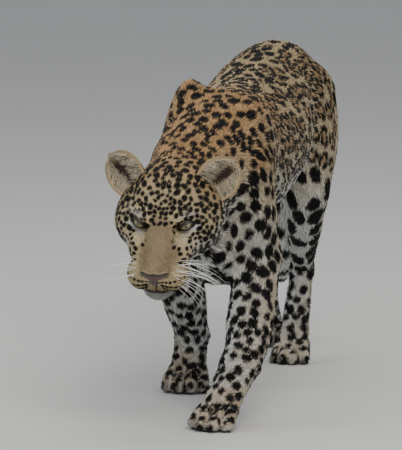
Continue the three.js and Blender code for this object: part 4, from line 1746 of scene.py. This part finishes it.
@dataclass
class Nose:
    """The bare nose: pinkish leather with a black edge and comma-shaped nostrils."""

    head: Head
    placing: Placing
    spacing: float = 0.8
    half_width: float = 25.0
    fall: float = 0.46
    nostril: tuple = (
        (10.0, -43.5, 3.0), (14.0, -43.0, 3.0), (18.0, -40.5, 2.3), (21.5, -37.5, 1.5),
    )

    def build(self) -> bpy.types.Object:
        """Lays a fine sheet on the front of the muzzle and sinks its nostrils.

        Returns:
            The object, in the scene.
        """
        u = np.arange(-self.half_width, self.half_width + 0.1, self.spacing)
        v = np.arange(-24.0, 17.0, self.spacing)
        uu, vv = np.meshgrid(u, v, indexing="ij")
        way = unit(np.array([0.0, 1.0, -self.fall]))
        up = np.array([0.0, -way[2], way[1]])
        start = np.array([0.0, -92.0, -42.0]) - 40.0 * way
        q = start + uu.reshape(-1, 1) * [1.0, 0.0, 0.0] + vv.reshape(-1, 1) * up
        for _ in range(14):
            q = q + 0.85 * self.head.distance(q)[:, None] * way
        x, z = np.abs(q[:, 0]), q[:, 2]
        width = np.interp(z, [-66.0, -60.0, -54.0, -49.0, -45.0, -40.0, -36.0, -32.0, -30.0],
                          [1.2, 2.2, 5.0, 9.5, 16.0, 22.5, 24.5, 18.0, 0.0])
        margin = np.minimum(width - x, (-29.5 - z) * 1.0)
        hollow = np.zeros(len(q))
        for cx, cz, radius in self.nostril:
            gap = np.hypot(x - cx, z - cz) / radius
            hollow = np.maximum(hollow, np.exp(-(gap**4)))
        split = np.exp(-((x / 1.1) ** 2)) * step(-36.0, -46.0, z)
        crown = 0.7 * step(0.0, 4.0, margin)
        sink = -3.2 * step(0.6, -1.2, margin)
        moved = crown + sink - 5.5 * hollow - 1.0 * split
        places = q - way * moved[:, None]
        faces = grid_faces(len(u), len(v), False)
        keep = (margin[faces] > -1.8).all(axis=1)
        used, faces = np.unique(faces[keep], return_inverse=True)
        faces = faces.reshape(-1, 4)[:, ::-1]
        leather, black = np.array((0.056, 0.027, 0.024)), np.array((0.006, 0.005, 0.005))
        # Black along the margin is the leather's own edge; the black in the sunken nostril hollows
        # and the darkened middle groove are painted shade in those recesses.
        dark = np.maximum.reduce([step(5.6, 2.8, margin), step(0.2, 0.5, hollow), 0.7 * split])
        colour = mixed(np.tile(leather, (len(q), 1)), black, dark)
        # Painted highlight: a paler patch on the upper middle of the leather, blended in at 0.3.
        pale = np.array((0.15, 0.08, 0.065))
        colour = mixed(colour, pale, 0.3 * step(4.0, 9.0, margin) * step(-46.0, -40.0, z))
        made = self.placing.metres(self.head.outward(places[used]))
        piece = mesh_piece("nose_leather", made, faces)
        paint(piece, colour[used])
        return piece


@dataclass
class Ear(Paired):
    """A round cupped ear, with its buff edge, dark back and long inner hair."""

    length: float = 74.0
    half_breadth: float = 37.0
    depth: float = 27.0
    wall: float = 3.4
    rows: int = 26
    columns: int = 36
    hair_count: int = 3600
    coat_count: int = 5200
    sheet: float = 80.0

    def __post_init__(self) -> None:
        """Makes the ear's own directions."""
        mirror = np.array([self.side, 1.0, 1.0])
        self.root = mirror * [61.0, 82.0, 10.0]
        self.axis = unit(mirror * [0.64, 0.6, 0.46])
        edge = mirror * [0.72, 0.05, -0.66]
        self.wide = unit(edge - (edge @ self.axis) * self.axis)
        self.open = np.cross(self.wide, self.axis) * self.side

    def at(self, v: Array, turn: Array, wall: float) -> Array:
        """Points of the shell, in the head's frame.

        Args:
            v: The share of the ear's length, from its root.
            turn: The angle round the cup, 0 at its back.
            wall: How far inside the outer face.

        Returns:
            The points.
        """
        rounded = np.sqrt(np.maximum(1.0 - np.maximum((v - 0.42) / 0.58, 0.0) ** 2.2, 0.0))
        breadth = self.half_breadth * (0.82 + 0.18 * np.minimum(v / 0.4, 1.0)) * rounded
        deep = self.depth * (1.0 - 0.62 * v) * rounded
        height = (self.length - wall) * v
        breadth, deep = np.maximum(breadth - wall, 0.0), np.maximum(deep - wall, 0.0)
        return (
            self.root
            + height[:, None] * self.axis
            + (breadth * np.sin(turn))[:, None] * self.wide
            - (deep * np.cos(turn) - 2.0 * v * v)[:, None] * self.open
        )

    def build(self) -> bpy.types.Object:
        """The shell of the ear.

        Returns:
            The object, in the scene.
        """
        v = np.linspace(-0.06, 1.0, self.rows)
        turn = (np.linspace(0.0, 1.0, self.columns) - 0.5) * math.pi
        vv, tt = (k.ravel() for k in np.meshgrid(v, turn, indexing="ij"))
        outer, inner = self.at(vv, tt, 0.6), self.at(vv, tt, self.wall)
        sheet = grid_faces(self.rows, self.columns, False)
        count = len(outer)
        faces = [sheet, sheet[:, ::-1] + count]
        for n in (0, self.columns - 1):
            a = np.arange(self.rows - 1) * self.columns + n
            strip = np.stack([a, a + self.columns, a + self.columns + count, a + count], axis=1)
            faces.append(strip if n == 0 else strip[:, ::-1])
        faces = np.concatenate(faces)
        if self.side > 0:
            faces = faces[:, ::-1]
        local = np.concatenate([outer, inner])
        made = self.placing.metres(self.head.outward(local))
        piece = mesh_piece(f"ear_shell_{self.name}", made, faces)
        rim = np.maximum(step(0.80, 0.97, vv), step(0.72, 0.97, np.abs(tt) * 2.0 / math.pi))
        # Inside of the cup: the pink of its skin darkened with painted shade of the hollow; the
        # buff rim, black back and pale spot are the ear's own colours.
        buff, black = np.array((0.46, 0.34, 0.19)), np.array((0.010, 0.008, 0.007))
        pink_with_painted_shade = np.array((0.055, 0.035, 0.028))
        pale = np.array((0.60, 0.52, 0.42))
        back = mixed(np.tile(black, (count, 1)), buff, rim)
        spot = step(0.75, 0.55, np.hypot((vv - 0.55) / 0.28, tt / 0.55))
        back = mixed(back, pale, spot * 0.9)
        front = mixed(np.tile(pink_with_painted_shade, (count, 1)), buff, rim)
        paint(piece, np.concatenate([back, front]))
        return piece

    def hairs(self) -> bpy.types.Object:
        """Long pale hair that crosses the cup, and the short fringe of its edge.

        Returns:
            The object, in the scene.
        """
        rng = np.random.default_rng(31 if self.side > 0 else 32)
        count = self.hair_count
        v = rng.uniform(0.0, 0.97, count)
        edge = rng.choice([-1.0, 1.0], count, p=[0.6, 0.4]) * rng.uniform(0.35, 0.98, count)
        turn = edge * math.pi / 2.0
        root = self.at(v, turn, self.wall)
        middle = self.at(np.clip(v + 0.18, 0, 1), turn * 0.15, self.wall)
        way = unit(middle - root + 10.0 * self.open + rng.normal(0.0, 5.0, (count, 3)))
        length = rng.uniform(12.0, 34.0, count) * (1.0 - 0.55 * v)
        length = np.where(edge > 0.0, length * 0.75, length)
        colour = np.tile(np.array((0.72, 0.63, 0.46)), (count, 1))
        colour = mixed(colour, np.array((0.05, 0.035, 0.03)), rng.uniform(size=count) < 0.2)
        colour *= rng.uniform(0.6, 1.2, count)[:, None]
        out = np.tile(self.open, (count, 1))
        return self.blades(f"ear_hair_{self.name}", root, way, length, colour, 0.8, out)

    def coat(self) -> bpy.types.Object:
        """Short fur on the back and round the edge of the ear.

        Returns:
            The object, in the scene.
        """
        rng = np.random.default_rng(41 if self.side > 0 else 42)
        count = self.coat_count
        v = rng.uniform(0.0, 1.0, count) ** 0.8
        turn = rng.uniform(-0.5, 0.5, count) * math.pi
        fringe = rng.uniform(size=count) < 0.45
        v = np.where(fringe & (rng.uniform(size=count) < 0.5), rng.uniform(0.86, 1.0, count), v)
        edge = np.sign(turn) * math.pi / 2.0 * rng.uniform(0.9, 1.0, count)
        turn = np.where(fringe & (v < 0.86), edge, turn)
        root = self.at(v, turn, 1.2)
        ahead = self.at(np.clip(v + 0.05, 0.0, 1.03), turn * 1.01, 0.4)
        out = unit(root - self.at(v, turn, 3.0))
        way = unit(unit(ahead - root) + 0.25 * out + rng.normal(0.0, 0.12, (count, 3)))
        rim = np.maximum(step(0.80, 0.97, v), step(0.72, 0.97, np.abs(turn) * 2.0 / math.pi))
        buff, black = np.array((0.48, 0.36, 0.20)), np.array((0.010, 0.008, 0.007))
        pale = np.array((0.62, 0.54, 0.44))
        spot = step(0.75, 0.55, np.hypot((v - 0.55) / 0.28, turn / 0.55))
        colour = mixed(mixed(np.tile(black, (count, 1)), buff, rim), pale, spot * 0.9)
        colour *= rng.uniform(0.75, 1.2, count)[:, None]
        length = rng.uniform(4.0, 7.5, count)
        return self.blades(f"ear_coat_{self.name}", root, way, length, colour, 1.1, out)

    def blades(
        self, name: str, root: Array, way: Array, length: Array, colour: Array, width: float,
        out: Array,
    ) -> bpy.types.Object:
        """Thin three-sided blades of hair.

        Args:
            name: The piece's name.
            root: Where they stand, in the head's frame.
            way: Where each points.
            length: How long each is.
            colour: The colour of each.
            width: How wide they are at the root.
            out: Roughly outward directions.

        Returns:
            The piece.
        """
        side = unit(np.cross(out, way)) * width / 2.0
        up = unit(np.cross(way, side)) * width / 2.5
        ell = length[:, None]
        middle = root + way * ell * 0.55 + up * 0.8
        tip = root + way * ell - up * 0.6 * ell / 8.0
        corners = [root - side, root + side, root + up, middle - 0.8 * side, middle + 0.8 * side,
                   middle + 0.8 * up, tip]
        places = np.stack(corners, axis=1).reshape(-1, 3)
        across, up_ear = root @ self.wide, (root - self.root) @ self.axis
        spots = 0.03 + 0.94 * (np.column_stack([across, up_ear]) % self.sheet) / self.sheet
        made = self.placing.metres(self.head.outward(places))
        shades = np.clip(colour, 0.0, 0.9).repeat(TUFT_POINTS, axis=0)
        return tuft_piece(name, made, shades, spots)


class Sprouts(Nodes):
    """A Geometry Nodes tree that plants one curved, tapering bristle on every point."""

    def __init__(self, name: str, material: bpy.types.Material) -> None:
        """Builds the tree.

        Args:
            name: The tree's name.
            material: The finish of the bristles.
        """
        super().__init__(bpy.data.node_groups.new(name, "GeometryNodeTree"))
        face = self.tree.interface
        face.new_socket("Geometry", in_out="INPUT", socket_type="NodeSocketGeometry")
        self.names = {}
        inputs = (("Length", 1.0), ("Thickness", 1.0), ("Bend", 0.2), ("Spread", 0.15))
        for label, value in inputs:
            socket = face.new_socket(label, in_out="INPUT", socket_type="NodeSocketFloat")
            socket.default_value = value
            self.names[label] = socket.identifier
        face.new_socket("Geometry", in_out="OUTPUT", socket_type="NodeSocketGeometry")
        given = self.node("NodeGroupInput", {})
        bend = self.node("ShaderNodeCombineXYZ", {}, X=given.outputs["Bend"], Z=0.55)
        tip = self.node("ShaderNodeCombineXYZ", {}, X=0.0, Z=1.0)
        line = self.node(
            "GeometryNodeCurveQuadraticBezier", {},
            Resolution=9, Start=(0.0, 0.0, 0.0), Middle=bend.outputs[0], End=tip.outputs[0],
        )
        along = self.node("GeometryNodeSplineParameter", {})
        thin = self.sum_of("SUBTRACT", 1.04, along.outputs["Factor"])
        thick = self.sum_of("MULTIPLY", thin, given.outputs["Thickness"])
        ring = self.node(
            "GeometryNodeCurvePrimitiveCircle", {"mode": "RADIUS"}, Resolution=5, Radius=1.0
        )
        tube = self.node("GeometryNodeCurveToMesh", {}, Curve=line.outputs[0],
                         Profile_Curve=ring.outputs[0], Scale=thick, Fill_Caps=True)
        kept = {"way": "FLOAT_VECTOR", "lean": "FLOAT_VECTOR", "reach": "FLOAT"}
        way, lean, reach = (
            self.node("GeometryNodeInputNamedAttribute", {"data_type": kind}, Name=label)
            for label, kind in kept.items()
        )
        turned = self.node(
            "FunctionNodeAxesToRotation", {"primary_axis": "Z", "secondary_axis": "X"},
            Primary_Axis=way.outputs[0], Secondary_Axis=lean.outputs[0],
        )
        vary = self.node("FunctionNodeRandomValue", {"data_type": "FLOAT"}, Seed=7)
        least = [socket for socket in vary.inputs if socket.name == "Min"][1]
        self.put(least, self.sum_of("SUBTRACT", 1.0, given.outputs["Spread"]))
        size = self.sum_of("MULTIPLY", reach.outputs[0], given.outputs["Length"])
        grown = self.sum_of("MULTIPLY", size, vary.outputs[1])
        planted = self.node(
            "GeometryNodeInstanceOnPoints", {},
            Points=given.outputs["Geometry"], Instance=tube.outputs[0],
            Rotation=turned.outputs[0], Scale=grown,
        )
        real = self.node("GeometryNodeRealizeInstances", {}, Geometry=planted.outputs[0])
        dressed = self.node(
            "GeometryNodeSetMaterial", {}, Geometry=real.outputs[0], Material=material
        )
        end = self.node("NodeGroupOutput", {})
        self.tree.links.new(dressed.outputs[0], end.inputs[0])

    def plant(
        self, name: str, root: Array, way: Array, lean: Array, reach: Array, **sizes: float
    ) -> bpy.types.Object:
        """Plants the bristles and keeps them as a plain mesh.

        Args:
            name: The piece's name.
            root: Their places, in metres.
            way: Where each points.
            lean: The side that each bends to.
            reach: The length of each, in metres.
            sizes: Values for the tree's named inputs.

        Returns:
            The piece.
        """
        mesh = bpy.data.meshes.new(name + "_roots")
        mesh.from_pydata(root.tolist(), [], [])
        for label, values in (("way", way), ("lean", lean)):
            made = mesh.attributes.new(label, "FLOAT_VECTOR", "POINT")
            made.data.foreach_set("vector", values.ravel())
        mesh.attributes.new("reach", "FLOAT", "POINT").data.foreach_set("value", reach)
        seedbed = bpy.data.objects.new(name + "_roots", mesh)
        bpy.context.collection.objects.link(seedbed)
        grow = seedbed.modifiers.new("grow", "NODES")
        grow.node_group = self.tree
        for label, value in sizes.items():
            grow[self.names[label]] = value
        ready = seedbed.evaluated_get(bpy.context.evaluated_depsgraph_get())
        grown = bpy.data.meshes.new_from_object(ready)
        grown.name = name
        seedbed.modifiers.clear()
        bpy.data.objects.remove(seedbed)
        piece = bpy.data.objects.new(name, grown)
        bpy.context.collection.objects.link(piece)
        return piece


@dataclass
class Bristles:
    """Whiskers, eyebrow hairs and claws."""

    body: Body
    placing: Placing

    def on_skin(self, q: Array) -> tuple[Array, Array]:
        """Places of the head's frame brought to the skin, with the outward directions."""
        place, normal = self.body.settle(self.body.head.outward(q), np.full(len(q), -2.0), 5)
        return self.placing.metres(place), normal

    def whiskers(self, material: bpy.types.Material) -> bpy.types.Object:
        """The long white hairs of the whisker pads and over the eyes.

        Args:
            material: Their finish.

        Returns:
            The object, in the scene.
        """
        rng = np.random.default_rng(5)
        head = self.body.head
        roots, ways, leans, reaches = [], [], [], []
        for side in (-1.0, 1.0):
            for row in range(4):
                for n in range(4 + row % 2):
                    roots.append((side * 32.0, -84.0 + 10.0 * n + 2.0 * row, -45.0 - 6.0 * row))
                    back = -0.25 + 0.14 * n + rng.normal(0.0, 0.12)
                    drop = -0.35 - 0.22 * row + rng.normal(0.0, 0.14)
                    ways.append((side * (0.9 - 0.06 * n), back, drop))
                    leans.append((side * 0.25, 0.1, 0.9))
                    reaches.append(0.098 - 0.006 * abs(n - 2.0) + rng.uniform(-0.03, 0.012))
            for n in range(4):
                roots.append((side * (34.0 + 4.0 * n), 4.0, 19.0))
                ways.append((side * (0.2 + 0.2 * n), -0.35, 0.8))
                leans.append((side, 0.2, -0.2))
                reaches.append(rng.uniform(0.030, 0.050))
        place, normal = self.on_skin(np.array(roots))
        way = unit(head.turned(np.array(ways)))
        way = unit(way + 0.25 * normal)
        lean = unit(head.turned(np.array(leans)))
        return Sprouts("whisker_tree", material).plant(
            "whiskers", place, way, lean, np.array(reaches),
            Length=1.0, Thickness=0.0075, Bend=0.2, Spread=0.12,
        )

    def claws(self, material: bpy.types.Material) -> bpy.types.Object:
        """The tips of the claws, drawn in between the toes' fur.

        Args:
            material: Their finish.

        Returns:
            The object, in the scene.
        """
        roots, ways = [], []
        for leg in self.body.legs.values():
            radius, spread = leg.toe_radius, leg.toe_spread
            for n in TOES:
                reach = leg.toe_reach(n) + radius * 0.72
                roots.append(leg.at(n * spread * 1.05, reach, radius * 1.05))
                ways.append(leg.ahead + [0.0, 0.0, -0.55])
        count = len(roots)
        lean = np.tile([0.0, 0.0, 1.0], (count, 1))
        return Sprouts("claw_tree", material).plant(
            "claws", self.placing.metres(np.array(roots)), unit(np.array(ways)), lean,
            np.full(count, 0.0095), Length=1.0, Thickness=0.17, Bend=0.22, Spread=0.05,
        )


@dataclass(frozen=True)
class Lamp:
    """A large soft lamp: its place and size in metres, its power in watts and its colour."""

    name: str
    place: tuple
    size: float
    power: float
    colour: tuple


@dataclass
class Studio:
    """The pale floor, the soft light and the camera."""

    placing: Placing
    aim: tuple = (-27.0, 0.0, 322.0)
    back: tuple = (0.1945, -0.9733, 0.1219)
    distance: float = 9.0
    lens: float = 408.0
    floor_reach: float = 40.0
    sky: tuple = (0.80, 0.83, 0.88, 1.0)
    sky_strength: float = 0.52
    lamps: tuple = (
        Lamp("key", (1.6, -3.4, 3.4), 2.6, 120.0, (1.0, 0.96, 0.90)),
        Lamp("fill", (-3.2, -2.4, 2.0), 3.4, 42.0, (0.90, 0.95, 1.0)),
        Lamp("top", (0.0, 1.0, 4.2), 3.6, 70.0, (1.0, 0.98, 0.95)),
    )

    def __post_init__(self) -> None:
        """Places the point that the camera looks at."""
        self.target = Vector(self.placing.metres(rows(self.aim))[0])

    def build(self) -> None:
        """Makes the floor, the lights and the camera."""
        self.camera()
        mesh = bpy.data.meshes.new("floor")
        bm = bmesh.new()
        bmesh.ops.create_grid(bm, x_segments=24, y_segments=24, size=self.floor_reach)
        bm.to_mesh(mesh)
        bm.free()
        floor = bpy.data.objects.new("floor", mesh)
        bpy.context.collection.objects.link(floor)
        finish = PlainFinish("pale floor", (0.62, 0.61, 0.59), 0.8, 0.02, 3.0)
        floor.data.materials.append(finish.make())
        world = bpy.data.worlds.new("studio")
        world.use_nodes = True
        background = world.node_tree.nodes["Background"]
        background.inputs[0].default_value = self.sky
        background.inputs[1].default_value = self.sky_strength
        bpy.context.scene.world = world
        for lamp in self.lamps:
            self.hang(lamp)

    def hang(self, lamp: Lamp) -> None:
        """Adds a lamp that looks at the animal.

        Args:
            lamp: Which one.
        """
        light = bpy.data.lights.new(lamp.name, "AREA")
        light.shape = "DISK"
        light.size = lamp.size
        light.energy = lamp.power
        light.color = lamp.colour
        hung = bpy.data.objects.new(lamp.name, light)
        hung.location = lamp.place
        aim = self.target - Vector(lamp.place)
        hung.rotation_euler = aim.to_track_quat("-Z", "Y").to_euler()
        bpy.context.collection.objects.link(hung)

    def camera(self) -> None:
        """Stands the camera where the photograph was taken from."""
        lens = bpy.data.cameras.new("camera")
        lens.lens = self.lens
        lens.sensor_width = 36.0
        lens.sensor_fit = "AUTO"
        lens.clip_end = 120.0
        camera = bpy.data.objects.new("camera", lens)
        camera.location = self.target + self.distance * Vector(self.back)
        camera.rotation_euler = Vector(self.back).to_track_quat("Z", "Y").to_euler()
        bpy.context.collection.objects.link(camera)
        bpy.context.scene.camera = camera


def dress(piece: bpy.types.Object, material: bpy.types.Material, slot: str) -> None:
    """Gives a piece its finish and the body that it rides on.

    Args:
        piece: The piece.
        material: Its finish, used where it doesn't have one.
        slot: The slot of the record that the piece shows; not used.
    """
    if not piece.data.materials:
        piece.data.materials.append(material)
    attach(piece, "root")
    log.info("%s: %d faces", piece.name, len(piece.data.polygons))


FLESH = [
    "head", "neck", "torso", "foreleg_left", "forepaw_left", "foreleg_right", "forepaw_right",
    "hindleg_left", "hindpaw_left", "hindleg_right", "hindpaw_right", "tail_base",
    "tail_middle", "tail_tip",
]
SLOTS = {
    "head": "face_coat", "neck": "tawny_coat", "trunk": "flank_coat", "fore": "leg_coat",
    "hind": "leg_coat", "tail": "tail_coat",
}


def main() -> None:
    """Builds the leopard, its stage and the camera."""
    logging.basicConfig(level=logging.INFO, format="%(relativeCreated)d %(message)s")
    body = Body()
    placing = Placing(body.head)
    Studio(placing).build()
    coat = Coat(body, Markings(body))
    skin, vertices, faces = Skin(body, coat, placing).build()
    fur = HairFinish("skin with short hair").make()
    tufted = HairFinish("coat hair", 0.58, 500.0, 0.0).make()
    wet = WetFinish("wet eye", 0.12, 1.0).make()
    rim = WetFinish("lid rim", 0.35, 0.3, 900.0, 0.3).make()
    dress(skin, fur, "flank_coat")
    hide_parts(*FLESH)
    for piece in Fur(body, coat, placing).build(vertices, faces):
        dress(piece, tufted, SLOTS[piece.name.split("_")[1]])
    for side in Side:
        eye = Eye(side, body.head, placing)
        ball = eye.ball()
        dress(ball, wet, "eye")
        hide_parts(f"eye_{eye.name}")
        dress(eye.lids(), rim, "face_coat")
        ear = Ear(side, body.head, placing)
        shell = ear.build()
        dress(shell, fur, "ear_coat")
        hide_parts(f"ear_{ear.name}")
        dress(ear.hairs(), tufted, "ear_coat")
        dress(ear.coat(), tufted, "ear_coat")
    leather = WetFinish("nose leather", 0.42, 0.35, 1400.0, 0.6).make()
    dress(Nose(body.head, placing).build(), leather, "face_coat")
    bristles = Bristles(body, placing)
    pale = PlainFinish("whisker", (0.85, 0.83, 0.80), 0.35).make()
    horn = PlainFinish("claw", (0.20, 0.15, 0.11), 0.35, 0.3, 400.0, 0.3).make()
    dress(bristles.whiskers(pale), pale, "face_coat")
    dress(bristles.claws(horn), horn, "leg_coat")


if __name__ == "__main__":
    main()
